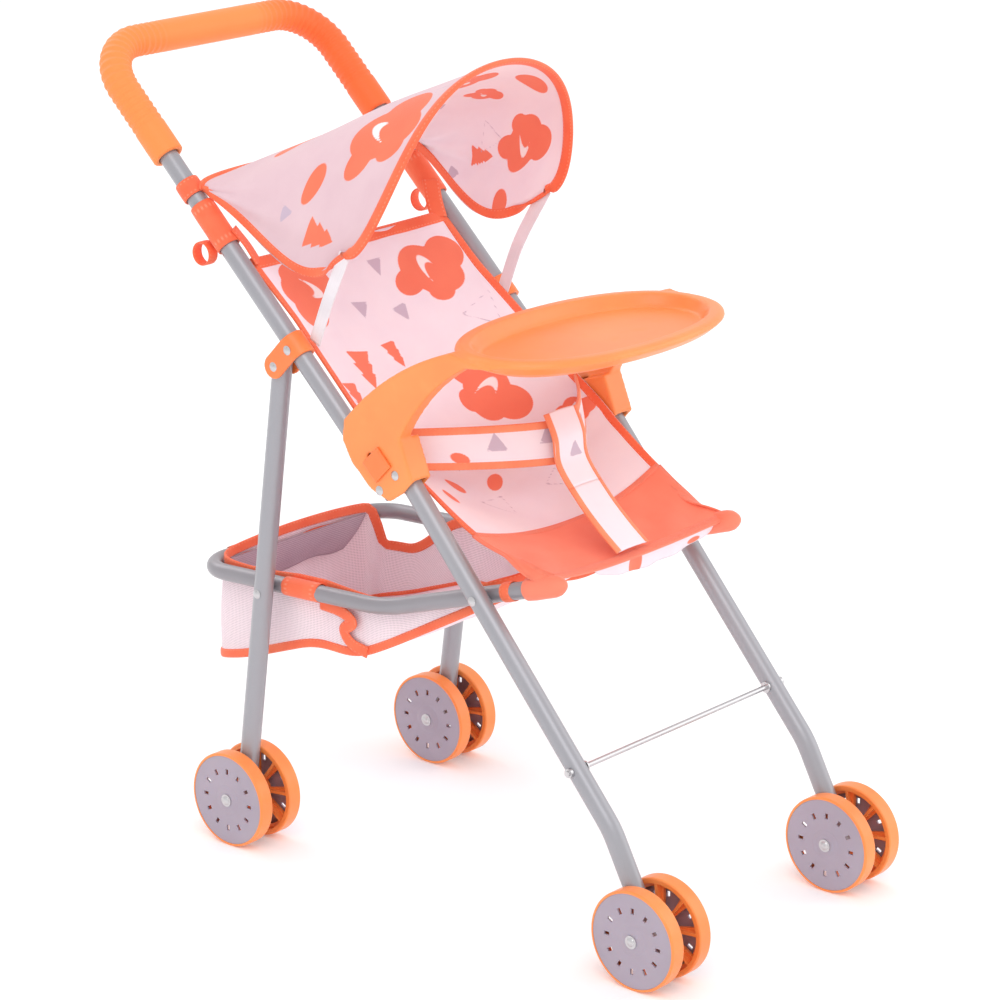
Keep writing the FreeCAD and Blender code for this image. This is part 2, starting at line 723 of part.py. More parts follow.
os.makedirs("parts", exist_ok=True)
for side_name, side in SIDES.items():
    shift = V(side * track_half, 0, 0)
    save("front_leg_" + side_name, front_leg().translated(shift))
    save("rear_leg_" + side_name, rear_leg().translated(shift))
    save("upper_bracket_" + side_name, upper_bracket().translated(shift))
    for end_name, axle in (("front", front_axle), ("rear", rear_axle)):
        for place in ("inner", "outer"):
            name = "_".join((end_name, side_name, place))
            save("wheel_" + name, place_wheel(wheel(), side, place == "outer", axle))
            save("disc_" + name, place_wheel(wheel_disc(), side, place == "outer", axle))
save("push_handle", push_handle())
save("handle_grip", handle_grip())
save("cross_rod", cross_rod())
save("basket_rail", basket_rail())
save("tray", tray())
for end_name, axle in (("front", front_axle), ("rear", rear_axle)):
    save(end_name + "_axles", group([axle_pin(axle, side) for side in SIDES.values()]))
    save(end_name + "_washers", group(axle_washers(axle)))


clamp_reach_x = tube_r + clamp_wall + fit_clearance
cheek_in_x = -(tube_r + cheek_gap + inner_cheek_wall + fit_clearance)
cheek_out_x = tube_r + cheek_gap + cheek_wall + fit_clearance
rail_in_x = -(tube_r + side_clearance + 2 * rail_r + fit_clearance)
save("clamp_rivets", side_rivets(along_handle(clamp_at), -clamp_reach_x, clamp_reach_x))
save("rear_leg_pivots", side_rivets(leg_pivot, -clamp_reach_x, clamp_reach_x))
save("tray_rivets", side_rivets(tray_rivet, cheek_in_x, cheek_out_x))
save("handle_pivots", side_rivets(handle_foot, cheek_in_x, cheek_out_x))
save("rail_pivots", side_rivets(rail_pivot, rail_in_x, tube_r + fit_clearance))
save("rear_rail_rivets", rear_rail_rivets())

save("fold_catch_right", fold_catch())
save("fold_catch_left", mirrored(fold_catch()))
save("seat_back", seat_back())
save("seat_fold", seat_fold())
save("seat_base", seat_base())
save("waist_strap", waist_strap())
save("crotch_strap", crotch_strap())
save("canopy_cover", canopy_cover())
save("canopy_bow", canopy_bow())
save("canopy_ties", group([canopy_tie(), mirrored(canopy_tie())]))
save("basket", basket())


def both_sides(shape, x):
    """Copies at +x and, mirrored, at -x."""
    right = shape.translated(V(x, 0, 0))
    return [right, mirrored(right)]


mid_dir = (rail_knee - rail_back).normalize()
mid_strap = rail_back + mid_dir * 107.0
save("seat_wraps", group(both_sides(handle_wrap(), track_half)))
save("pull_loops", group(both_sides(pull_loop(), track_half)))
mid_sleeve = rail_sleeve(mid_strap - mid_dir * 11.0, mid_strap + mid_dir * 11.0)
front_sleeve = rail_sleeve(rail_pivot + rail_front_dir * 12.0, rail_pivot + rail_front_dir * 22.0)
save("basket_straps", group(both_sides(mid_sleeve, rail_x) + both_sides(front_sleeve, rail_x)))
save("corner_pockets", group(both_sides(corner_pocket(), rail_x)))
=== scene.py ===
import json
from math import radians, sin, cos, pi
import bmesh
import bpy
import numpy as np
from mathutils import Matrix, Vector


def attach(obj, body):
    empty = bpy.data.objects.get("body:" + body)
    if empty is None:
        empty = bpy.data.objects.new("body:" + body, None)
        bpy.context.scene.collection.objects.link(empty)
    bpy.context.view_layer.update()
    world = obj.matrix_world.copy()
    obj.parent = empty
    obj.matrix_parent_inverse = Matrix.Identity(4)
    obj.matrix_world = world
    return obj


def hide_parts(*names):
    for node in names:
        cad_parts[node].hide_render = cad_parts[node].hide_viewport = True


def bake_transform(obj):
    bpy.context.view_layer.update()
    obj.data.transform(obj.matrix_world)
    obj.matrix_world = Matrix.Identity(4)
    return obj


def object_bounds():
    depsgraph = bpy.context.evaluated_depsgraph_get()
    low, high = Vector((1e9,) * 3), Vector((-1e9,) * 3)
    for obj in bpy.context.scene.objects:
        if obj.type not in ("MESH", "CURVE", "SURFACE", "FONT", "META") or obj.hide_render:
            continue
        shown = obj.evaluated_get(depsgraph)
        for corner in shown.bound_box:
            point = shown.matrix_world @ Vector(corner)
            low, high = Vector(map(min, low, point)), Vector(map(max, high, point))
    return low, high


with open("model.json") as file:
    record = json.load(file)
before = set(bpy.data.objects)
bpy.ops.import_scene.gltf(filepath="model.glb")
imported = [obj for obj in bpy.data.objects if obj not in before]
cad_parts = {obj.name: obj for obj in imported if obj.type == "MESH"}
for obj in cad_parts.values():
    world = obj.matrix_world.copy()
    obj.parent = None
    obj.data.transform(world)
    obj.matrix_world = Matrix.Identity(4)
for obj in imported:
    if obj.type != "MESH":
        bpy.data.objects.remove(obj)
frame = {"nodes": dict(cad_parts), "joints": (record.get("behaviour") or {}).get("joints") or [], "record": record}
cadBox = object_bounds()
print("frame loaded")

mm = 0.001
joints = {j["name"]: j for j in frame["joints"]}
record = frame["record"]


# camera, floor and light
view = {"azimuth": -49.2, "elevation": 17.5, "distance": 2.5236, "target": (0, -0.0362, 0.265),
        "lens": 130.4, "shiftX": -0.0205, "shiftY": 0.0013}
studio = {"floorSize": 9.0, "floorColour": (0.97, 0.97, 0.975), "floorGlow": 0.1, "skyStrength": 0.93,
          "aim": (0, 0, 0.28),
          "key": {"at": (-1.7, -1.5, 2.6), "size": 2.2, "power": 24},
          "fill": {"at": (2.2, -1.9, 1.4), "size": 2.5, "power": 16},
          "rim": {"at": (0.3, 2.4, 2.2), "size": 1.8, "power": 12}}


# an object set down at a place and turned to look along a direction
def placed(name, data, where, heading):
    made = bpy.data.objects.new(name, data)
    made.location = where
    made.rotation_mode = "QUATERNION"
    made.rotation_quaternion = heading.to_track_quat("-Z", "Y")
    bpy.context.collection.objects.link(made)
    return made


# the camera stands back from its target, along the azimuth and the elevation, and looks at it
def makeCamera():
    a = radians(view["azimuth"])
    e = radians(view["elevation"])
    back = Vector((sin(a) * cos(e), -cos(a) * cos(e), sin(e)))
    data = bpy.data.cameras.new("camera")
    data.lens = view["lens"]
    data.sensor_width = 36
    data.shift_x = view["shiftX"]
    data.shift_y = view["shiftY"]
    where = Vector(view["target"]) + back * view["distance"]
    bpy.context.scene.camera = placed("camera", data, where, -back)


# a white sky, dimmer as a light than it looks to the camera, and three round lamps
def makeStudio():
    world = bpy.data.worlds.new("studio")
    world.use_nodes = True
    sky = world.node_tree.nodes["Background"]
    sky.inputs["Color"].default_value = (1, 1, 1, 1)
    seen = world.node_tree.nodes.new("ShaderNodeLightPath")
    strength = world.node_tree.nodes.new("ShaderNodeMath")
    strength.operation = "MAXIMUM"
    strength.inputs[1].default_value = studio["skyStrength"]
    world.node_tree.links.new(seen.outputs["Is Camera Ray"], strength.inputs[0])
    world.node_tree.links.new(strength.outputs[0], sky.inputs["Strength"])
    bpy.context.scene.world = world
    for name in ("key", "fill", "rim"):
        lamp = studio[name]
        data = bpy.data.lights.new(name, "AREA")
        data.shape = "DISK"
        data.size = lamp["size"]
        data.energy = lamp["power"]
        placed(name, data, lamp["at"], Vector(studio["aim"]) - Vector(lamp["at"]))


bpy.context.scene.view_settings.view_transform = "Standard"
makeCamera()
makeStudio()


# shader tools
# display values from 0 to 255 turned to scene values, each ((c + 0.055) / 1.055) to the power 2.4
def linear(r, g, b):
    c = np.array((r, g, b)) / 255
    out = np.where(c < 0.04045, c / 12.92, ((c + 0.055) / 1.055) ** 2.4)
    return (*[float(x) for x in out], 1.0)


# a colour made darker or paler: each part times one number, plus another, and at most 1
def shaded(colour, times, plus=0.0):
    return tuple(min(1.0, times * c + plus) for c in colour[:3]) + (1.0,)


class Wire:  # a socket that sums can be written with
    def __init__(self, paint, socket):
        self.paint = paint
        self.socket = socket

    def sum(self, operation, *inputs):
        return self.paint.node("ShaderNodeMath", {"operation": operation}, dict(enumerate(inputs)))

    def __add__(self, other):
        return self.sum("ADD", self, other)

    def __sub__(self, other):
        return self.sum("SUBTRACT", self, other)

    def __rsub__(self, other):
        return self.sum("SUBTRACT", other, self)

    def __mul__(self, other):
        return self.sum("MULTIPLY", self, other)

    def __abs__(self):
        return self.sum("ABSOLUTE", self)

    def sine(self):
        return self.sum("SINE", self)

    def least(self, other):
        return self.sum("MINIMUM", self, other)

    def most(self, other):
        return self.sum("MAXIMUM", self, other)

    def unit(self):  # held between 0 and 1
        return self.least(1.0).most(0.0)

    def part(self, index):
        return self.paint.node("ShaderNodeSeparateXYZ", {}, {0: self}, index)

    __radd__ = __add__
    __rmul__ = __mul__


class Paint:  # one material with its Principled shader
    def __init__(self, name, **shader):
        self.material = bpy.data.materials.new(name)
        self.material.use_nodes = True
        self.tree = self.material.node_tree
        self.shader = self.tree.nodes["Principled BSDF"]
        for key, value in shader.items():
            self.shader.inputs[key.replace("_", " ")].default_value = value

    def node(self, kind, settings, inputs, output=0):
        made = self.tree.nodes.new(kind)
        for key, value in settings.items():
            setattr(made, key, value)
        for key, value in inputs.items():
            if isinstance(value, Wire):
                self.tree.links.new(value.socket, made.inputs[key])
            else:
                made.inputs[key].default_value = value
        return Wire(self, made.outputs[output])

    def feed(self, key, value):
        self.tree.links.new(value.socket, self.shader.inputs[key])

    def place(self, kind="Object"):
        return self.node("ShaderNodeTexCoord", {}, {}, kind)

    def flat(self):  # the piece's own map, in metres of cloth
        return self.node("ShaderNodeUVMap", {"uv_map": "cloth"}, {})

    def noise(self, where, scale, detail):
        return self.node("ShaderNodeTexNoise", {}, {"Vector": where, "Scale": scale, "Detail": detail}, "Fac")

    def mix(self, factor, a, b):
        return self.node("ShaderNodeMix", {"data_type": "RGBA"}, {0: factor, 6: a, 7: b}, 2)

    def bump(self, height, distance, strength):
        wanted = {"Height": height, "Distance": distance, "Strength": strength}
        self.feed("Normal", self.node("ShaderNodeBump", {}, wanted))


# how far apart, in metres, threads, mesh holes, tape ribs and stitches lie
pitches = {"cloth": 0.0011, "satin": 0.0007, "mesh": 0.0026, "rib": 0.0012, "stitch": 0.0032}


# threads over and under: the product of two sine waves across each other, one to each way of the cloth
def weave(paint, pitch, where):
    u = where.part(0) * (2 * pi / pitch)
    v = where.part(1) * (2 * pi / pitch)
    return u.sine() * v.sine()


# finishes
# painted steel: a broad cloud and a fine speck, six parts to four, darken the colour and vary the shine
def lacqueredTube(name, colour):
    paint = Paint(name, Metallic=0.35, Roughness=0.34, Coat_Weight=0.25, Coat_Roughness=0.2)
    where = paint.place()
    speck = paint.noise(where, 900.0, 2.0)
    cloud = paint.noise(where, 14.0, 4.0)
    shade = (cloud * 0.6 + speck * 0.4).unit()
    paint.feed("Base Color", paint.mix(shade, shaded(colour, 0.86), colour))
    paint.feed("Roughness", 0.28 + cloud * 0.18)
    paint.bump(speck, 0.00003, 0.5)
    return paint.material


# plated steel: fine streaks darken it and roughen it
def brightSteel(name, colour):
    paint = Paint(name, Metallic=1.0)
    where = paint.place()
    streak = paint.noise(where, 420.0, 4.0)
    paint.feed("Base Color", paint.mix(streak, shaded(colour, 0.8), colour))
    paint.feed("Roughness", 0.2 + streak * 0.22)
    paint.bump(streak, 0.00002, 0.4)
    return paint.material


# dyed plastic: a faint flow cloud in the colour, a fine grain, and paler rubbed patches
def mouldedPlastic(name, colour, deep, roughness=0.34, grain=0.00002):
    paint = Paint(name, Coat_Weight=0.12, Coat_Roughness=0.3, Subsurface_Weight=0.08,
                  Subsurface_Scale=0.004, Subsurface_Radius=(1.0, 0.35, 0.15))
    where = paint.place()
    cloud = paint.noise(where, 18.0, 3.0)
    grainy = paint.noise(where, 1500.0, 2.0)
    rubbed = (paint.noise(where, 60.0, 5.0) * 4.0 - 2.3).unit()
    tint = paint.mix((cloud * 1.4 - 0.2).unit(), deep, colour)
    paint.feed("Base Color", paint.mix(rubbed * 0.3, tint, shaded(colour, 1.05, 0.02)))
    paint.feed("Roughness", roughness + rubbed * 0.1 + grainy * 0.05)
    paint.bump(grainy, grain, 0.6)
    return paint.material


# how the painted shade comes in over the arm at +x: where it starts along x in metres, how steeply, and how much
# of the deep colour it takes
farShade = {"from": 0.04, "steepness": 18.0, "share": 0.85}


# foam with fine pores: painted shade deepens it over the arm at +x, and it deepens in clouds
def foamSleeve(name, colour, deep):
    paint = Paint(name, Sheen_Weight=0.1, Sheen_Roughness=0.5)
    where = paint.place()
    pore = paint.noise(where, 1100.0, 3.0)
    cloud = paint.noise(where, 22.0, 3.0)
    farArmShade = ((where.part(0) - farShade["from"]) * farShade["steepness"]).unit() * farShade["share"]
    paint.feed("Base Color", paint.mix((farArmShade + (0.5 - cloud) * 0.3).unit(), colour, deep))
    paint.feed("Roughness", 0.5 + pore * 0.15)
    paint.bump(pore, 0.00005, 0.5)
    return paint.material


# the cloth's colours in display values; the two for the hood's outer side are painted shade, a plain one and a
# deeper one mixed by a noise
clothColours = {name: linear(*shade) for name, shade in {
    "ground": (252, 242, 248), "groundDeep": (242, 226, 238), "pale": (252, 240, 240),
    "grey": (196, 176, 196), "orange": (252, 124, 82), "orangeDeep": (243, 102, 64), "coral": (255, 145, 116),
    "coralDeep": (248, 120, 92), "tape": (252, 122, 80), "tapeDeep": (244, 98, 60), "stitch": (255, 168, 138),
    "outside": (234, 204, 210), "outsideDeep": (220, 184, 194), "ribbon": (255, 250, 252)}.items()}
printEdge = {"sharpness": 1600.0, "fray": 0.0006, "fineness": 900.0}
# how the hood's outer side is found for its painted shade: the height of the hood's middle line in metres, and how
# sharply the shade comes in
hoodOuterShade = {"height": 0.47, "sharpness": 80.0}


# woven cloth with a print: the attribute holds three distances, to the orange, grey and pale shapes. On the
# hood the outer side gets painted shade, a darker ground where the normal points away from the hood's middle line.
def printedCloth(name, paintOuterShade=False):
    paint = Paint(name, Sheen_Weight=0.15, Sheen_Roughness=0.4)
    where = paint.flat()
    soft = paint.noise(where, 30.0, 4.0)
    ground = paint.mix(soft, clothColours["groundDeep"], clothColours["ground"])
    orange = paint.mix(soft, clothColours["orangeDeep"], clothColours["orange"])
    # painted shade: on the hood's outer side the ground turns darker
    if paintOuterShade:
        way = paint.place("Normal")
        spot = paint.place()
        away = way.part(0) * spot.part(0) + way.part(2) * (spot.part(2) - hoodOuterShade["height"])
        outside = paint.mix(soft, clothColours["outsideDeep"], clothColours["outside"])
        ground = paint.mix((away * hoodOuterShade["sharpness"] + 0.5).unit(), ground, outside)
    distances = paint.node("ShaderNodeAttribute", {"attribute_name": "print"}, {}, "Vector")
    edge = paint.noise(where, printEdge["fineness"], 2.0) * printEdge["fray"] - printEdge["fray"] / 2
    inOrange, inGrey, inPale = [(0.5 - (distances.part(k) + edge) * printEdge["sharpness"]).unit()
                                for k in range(3)]
    tint = paint.mix(inOrange * 0.94, ground, orange)
    tint = paint.mix(inPale, tint, clothColours["pale"])
    tint = paint.mix(inGrey * 0.85, tint, clothColours["grey"])
    threads = weave(paint, pitches["cloth"], where)
    paint.feed("Base Color", tint)
    paint.feed("Roughness", 0.72 + threads * 0.06)
    paint.bump(threads + soft * 0.8, 0.00006, 0.7)
    return paint.material


# plain woven cloth: clouds of a deeper shade, and threads at a pitch in metres
def plainCloth(name, colour, deep, pitch=pitches["cloth"]):
    paint = Paint(name, Sheen_Weight=0.2, Sheen_Roughness=0.4)
    where = paint.flat()
    soft = paint.noise(where, 26.0, 5.0)
    threads = weave(paint, pitch, where)
    paint.feed("Base Color", paint.mix((soft * 1.5 - 0.25).unit(), deep, colour))
    paint.feed("Roughness", 0.66 + threads * 0.08)
    paint.bump(threads + soft * 0.8, 0.00007, 0.7)
    return paint.material


# folded tape: ribs across it, and a row of stitches along each edge, from its map's width of -1 to 1
def bindingTape(name, colour, deep):
    paint = Paint(name, Sheen_Weight=0.2, Sheen_Roughness=0.4)
    where = paint.flat()
    along = where.part(1)
    across = where.part(0)
    ribs = (along * (2 * pi / pitches["rib"])).sine()
    dashes = ((along * (2 * pi / pitches["stitch"])).sine() * 3.0).unit()
    stitch = dashes * (1.0 - abs(abs(across) - 0.72) * 9.0).unit()
    soft = paint.noise(paint.place(), 60.0, 3.0)
    tint = paint.mix((soft * 1.4 - 0.2).unit(), deep, colour)
    paint.feed("Base Color", paint.mix(stitch * 0.55, tint, clothColours["stitch"]))
    paint.feed("Roughness", 0.62 + ribs * 0.05)
    paint.bump(ribs * 0.4 + stitch * 1.6 + soft, 0.00012, 0.7)
    return paint.material


# knitted mesh: round holes on a square grid, where both sine waves are near their tops
def openMesh(name, colour, deep, openness):
    paint = Paint(name, Sheen_Weight=0.1)
    where = paint.flat()
    knit = weave(paint, pitches["mesh"], where)
    hole = ((abs(knit) - 0.34) * 6.0).unit()
    soft = paint.noise(where, 30.0, 3.0)
    paint.feed("Base Color", paint.mix(soft, deep, colour))
    paint.feed("Roughness", 0.7 + soft * 0.1)
    paint.feed("Alpha", 1.0 - hole * openness)
    paint.bump(knit, 0.0001, 0.5)
    return paint.material


finishes = {
    "tube_grey": lacqueredTube("lacqueredTube", linear(168, 167, 173)),
    "rail_grey": lacqueredTube("lacqueredRail", linear(156, 152, 158)),
    "steel": brightSteel("brightSteel", linear(214, 212, 214)),
    # the grip's deep colour is the painted shade on the arm at +x, and also the tone of its clouds
    "grip_orange": foamSleeve("foamSleeve", linear(255, 144, 70), linear(252, 98, 36)),
    "tray_orange": mouldedPlastic("trayPlastic", linear(255, 156, 84), linear(254, 138, 72)),
    "bracket_orange": mouldedPlastic("bracketPlastic", linear(255, 140, 72), linear(250, 118, 56)),
    "wheel_orange": mouldedPlastic("wheelPlastic", linear(255, 158, 84), linear(253, 130, 62)),
    "disc_grey": mouldedPlastic("discPlastic", linear(178, 165, 179), linear(160, 148, 162), 0.42, 0.00004),
    "print_cloth": printedCloth("printedCloth"),
    # the hood's printed cloth, with painted shade on its outer side
    "hood_cloth": printedCloth("hoodClothOuterShade", paintOuterShade=True),
    "coral_cloth": plainCloth("coralCloth", clothColours["coral"], clothColours["coralDeep"]),
    "basket_mesh": openMesh("basketMesh", linear(253, 238, 243), linear(246, 224, 232), 0.42),
    "pocket_mesh": openMesh("pocketMesh", linear(200, 178, 190), linear(176, 150, 166), 0.4),
    "basket_floor": plainCloth("basketFloorCloth", linear(253, 236, 242), linear(246, 220, 230)),
    "binding": bindingTape("bindingTape", clothColours["tape"], clothColours["tapeDeep"]),
    "strap_binding": bindingTape("strapTape", linear(253, 156, 114), linear(248, 132, 92)),
    "ribbon": plainCloth("satinRibbon", clothColours["ribbon"], linear(236, 226, 236), pitches["satin"])}
print("finishes made")

for part in record["subparts"]:
    node = frame["nodes"][part["node"]]
    node.data.materials.clear()
    node.data.materials.append(finishes[part["material_slot"]])


# a white square of paper under the wheels, which glows a little
def makeFloor():
    half = studio["floorSize"] / 2
    mesh = bpy.data.meshes.new("floor")
    low = cadBox[0].z
    corners = [(-half, -half, low), (half, -half, low), (half, half, low), (-half, half, low)]
    mesh.from_pydata(corners, [], [(0, 1, 2, 3)])
    made = bpy.data.objects.new("floor", mesh)
    paint = Paint("floorPaper", Roughness=0.9, Emission_Strength=studio["floorGlow"])
    grain = paint.noise(paint.place(), 3.0, 2.0)
    warm = studio["floorColour"]
    paint.feed("Base Color", paint.mix(grain, shaded(warm, 0.985), shaded(warm, 1.0)))
    mesh.materials.append(paint.material)
    bpy.context.collection.objects.link(made)


makeFloor()


# geometry tools
sides = (("left", -1), ("right", 1))
across = np.array([1.0, 0, 0])


# each vector divided by its own length
def unit(v):
    return v / np.maximum(np.linalg.norm(v, axis=-1, keepdims=True), 1e-12)


# a number raised to a power with its sign kept, which squares up a circle's sine and cosine
def signedPower(value, power):
    return np.sign(value) * np.abs(value) ** power


# a straight mix: the first at a share of 0, the second at 1
def between(first, second, share):
    return first * (1 - share) + second * share


# a smooth step from 0 at low to 1 at high: 3 t squared less 2 t cubed
def ramp(x, low, high):
    t = np.clip((x - low) / (high - low), 0, 1)
    return t * t * (3 - 2 * t)


# half a sine wave that starts at a place and runs for a length, and nothing past its ends
def halfWave(x, start, length):
    return np.sin(pi * np.clip((x - start) / length, 0, 1))


# a bell about its middle: e to the power of minus the square of the distance over the spread
def bell(x, middle, spread):
    return np.exp(-((x - middle) / spread) ** 2)


# a smooth curve through points: between two of them, the cubic whose slope at each is half the step past it
def through(points, t):
    p = np.asarray(points, float)
    p = np.vstack([2 * p[0] - p[1], p, 2 * p[-1] - p[-2]])
    x = np.clip(np.asarray(t, float), 0, 1) * (len(p) - 3)
    i = np.minimum(x.astype(int), len(p) - 4)
    f = (x - i)[..., None]
    a, b, c, d = p[i], p[i + 1], p[i + 2], p[i + 3]
    square = 2 * a - 5 * b + 4 * c - d
    cube = 3 * b - a - 3 * c + d
    return 0.5 * (2 * b + (c - a) * f + square * f ** 2 + cube * f ** 3)


# the length run so far at each point of a line
def lengthAlong(points):
    return np.concatenate([[0], np.cumsum(np.linalg.norm(np.diff(points, axis=0), axis=1))])


# the same line with its points spread evenly along its length
def evenly(points, count, closed=False):
    p = np.vstack([points, points[:1]]) if closed else np.asarray(points)
    run = lengthAlong(p)
    at = np.linspace(0, run[-1], count + 1 if closed else count)
    out = np.stack([np.interp(at, run, p[:, k]) for k in range(p.shape[1])], 1)
    return out[:-1] if closed else out


# a grid's two parameters: s runs down its rows, and u from -1 to 1 across its columns
def gridOf(rows, cols, start=0.0, stop=1.0):
    return np.linspace(start, stop, rows)[:, None], np.linspace(-1, 1, cols)[None, :]


# a mesh on a grid of points: each square of neighbours is a face, and a closed way joins its last to its
# first. Caps close both ends with one face each, and caps="last" only the last end.
def meshFrom(name, points, material, flat=None, closed=(False, False), flip=False, caps=False):
    rows, cols = points.shape[:2]
    i, j = np.meshgrid(np.arange(rows - (not closed[0])), np.arange(cols - (not closed[1])), indexing="ij")
    i = i.ravel()
    j = j.ravel()
    i2 = (i + 1) % rows
    j2 = (j + 1) % cols
    faces = np.stack([i * cols + j, i * cols + j2, i2 * cols + j2, i2 * cols + j], 1)
    maps = np.stack([np.stack([i, j], 1), np.stack([i, j + 1], 1), np.stack([i + 1, j + 1], 1),
                     np.stack([i + 1, j], 1)], 1)
    if flip:
        faces = faces[:, ::-1]
        maps = maps[:, ::-1]
    listed = faces.tolist()
    if caps:
        first = list(range(cols))
        last = [(rows - 1) * cols + k for k in range(cols)]
        ends = [first[::-1], last] if not flip else [first, last[::-1]]
        listed += ends[1:] if caps == "last" else ends
    mesh = bpy.data.meshes.new(name)
    mesh.from_pydata(points.reshape(-1, 3).tolist(), [], listed)
    mesh.materials.append(material)
    mesh.polygons.foreach_set("use_smooth", np.ones(len(listed), bool))
    if flat is not None:
        layer = mesh.uv_layers.new(name="cloth")
        uv = np.zeros((len(mesh.loops), 2), np.float32)
        uv[:maps.shape[0] * 4] = flat[maps[..., 0].ravel(), maps[..., 1].ravel()]
        layer.data.foreach_set("uv", uv.ravel())
    made = bpy.data.objects.new(name, mesh)
    bpy.context.collection.objects.link(made)
    return made


# a surface given a thickness in millimetres, half of it to each side
def thicken(piece, thickness):
    wall = piece.modifiers.new("cloth", "SOLIDIFY")
    wall.thickness = thickness * mm
    wall.offset = 0.0
    wall.use_even_offset = False
    return piece


# a flat band carried along a path: its section is |x|^n + |y|^n = 1, wide across and thin along the facing
def tape(name, path, facing, width, thickness, finish="binding", closed=False, fullness=3.0):
    path = np.asarray(path, float)
    facing = np.broadcast_to(np.asarray(facing, float), path.shape)
    if closed:
        tangent = unit(np.roll(path, -1, 0) - np.roll(path, 1, 0))
    else:
        tangent = unit(np.gradient(path, axis=0))
    facing = unit(facing - (facing * tangent).sum(1, keepdims=True) * tangent)
    side = np.cross(tangent, facing)
    count = 16
    angle = 2 * pi * (np.arange(count) + 0.5) / count
    c = signedPower(np.cos(angle), 2 / fullness)
    s = signedPower(np.sin(angle), 2 / fullness)
    points = path[:, None] + side[:, None] * (c * (width * mm / 2))[None, :, None]
    points = points + facing[:, None] * (s * (thickness * mm) / 2)[None, :, None]
    run = lengthAlong(np.vstack([path, path[:1]]) if closed else path)
    flat = np.zeros((len(run), count + 1, 2))
    flat[..., 0] = np.append(c, c[0])
    flat[..., 1] = run[:, None]
    return meshFrom(name, points, finishes[finish], flat, (closed, True), flip=True, caps=not closed)


# a round section of changing radius carried along a path, square to its tangent
def pipe(name, path, tangent, reference, radius, finish):
    out = unit(reference - (reference * tangent).sum(1, keepdims=True) * tangent)
    side = np.cross(tangent, out)
    count = 28
    angle = 2 * pi * np.arange(count) / count
    ring = out[:, None] * np.cos(angle)[None, :, None] + side[:, None] * np.sin(angle)[None, :, None]
    points = path[:, None] + ring * radius[:, None, None]
    return meshFrom(name, points, finishes[finish], None, (False, True), caps=True)


# a band round an axis: its section is a rounded slab from the inner to the outer radius, |x|^4 + |y|^4 = 1,
# and its outer side swells by the wave three times in a turn
def ringBand(name, middle, axis, length, inner, outer, wave=0.0):
    around = 40
    section = 16
    inner = inner * mm
    outer = outer * mm
    axis = unit(np.asarray(axis, float))
    out = unit(np.cross(axis, [0.3, 0.5, 0.9]))
    side = np.cross(axis, out)
    turn = 2 * pi * np.arange(around) / around
    angle = 2 * pi * (np.arange(section) + 0.5) / section
    c = signedPower(np.cos(angle), 0.5)
    s = signedPower(np.sin(angle), 0.5)
    spoke = out * np.cos(turn)[:, None] + side * np.sin(turn)[:, None]
    swell = wave * mm * (1 + np.sin(3 * turn + 1))[:, None] * (s > 0)
    radius = (inner + outer) / 2 + (outer - inner) / 2 * s + swell
    reach = c * (length * mm) / 2
    points = np.asarray(middle) + spoke[:, None] * radius[..., None] + axis * reach[None, :, None]
    flat = np.zeros((around + 1, section + 1, 2))
    flat[..., 0] = np.append(c, c[0])
    flat[..., 1] = (np.arange(around + 1) * 2 * pi / around * outer)[:, None]
    return meshFrom(name, points, finishes["binding"], flat, (True, True), flip=True)


# the outward direction of a grid of points, from its steps along and across
def normalsOf(points):
    return unit(np.cross(np.gradient(points, axis=1), np.gradient(points, axis=0)))


# the flat map of a grid of cloth: across it from the middle, and down its length, both in metres
def flatMap(points):
    down = lengthAlong(points[:, points.shape[1] // 2])
    steps = np.linalg.norm(np.diff(points, axis=1), axis=2)
    out = np.concatenate([np.zeros((len(points), 1)), np.cumsum(steps, axis=1)], 1)
    return np.stack([out - out[:, -1:] / 2, np.broadcast_to(down[:, None], out.shape)], -1)


# hands a piece over with its body and the nodes it stands for; its slot is not used. A blended piece has no one
# body
def finished(piece, body, *nodes, slot):
    if body:
        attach(piece, body)
    if nodes:
        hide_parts(*nodes)


# one node holds both sides' parts, so only the left piece replaces it
def once(side, node):
    return [node] if side < 0 else []


# the frame's own lines: half widths between its tubes in millimetres, and the handle's slope
lines = {"trackHalf": 107.0, "railHalf": 93.7, "handleSlope": radians(46.0)}
handleFoot = np.array(joints["handle_fold"]["pos_m"])
upTube = np.array([0, sin(lines["handleSlope"]), cos(lines["handleSlope"])])
offTube = np.array([0, -cos(lines["handleSlope"]), sin(lines["handleSlope"])])


# a point by its distance up the handle tube from the foot, its offset forward of it and its x, in millimetres
def alongHandle(distance, offset=0.0, x=0.0):
    arrays = np.broadcast_arrays(np.asarray(distance, float), offset, x)
    up, off, out = [value[..., None] * mm for value in arrays]
    return handleFoot * [0, 1, 1] + up * upTube + off * offTube + out * across


# a point by its side-view place in millimetres
def sideView(y, z, x=0.0):
    return np.array([x, y, z]) * mm


# the print's shapes are distances on the flat cloth, below 0 inside. This one is roughly the distance to an
# ellipse: (length of the scaled point - 1) times its smaller radius
def discAt(p, x, y, rx, ry, turn=0.0):
    c = cos(turn)
    s = sin(turn)
    dx = p[..., 0] - x
    dy = p[..., 1] - y
    return (np.hypot((c * dx + s * dy) / rx, (c * dy - s * dx) / ry) - 1) * min(rx, ry)


# distance to a triangle: the furthest of three edges, each a third of a turn from the last
def triangleAt(p, x, y, size, turn=0.0):
    angles = turn + np.array([0, 2, 4]) * pi / 3
    edges = [(p[..., 0] - x) * cos(a) + (p[..., 1] - y) * sin(a) - size * 0.5 for a in angles]
    return np.max(edges, axis=0)


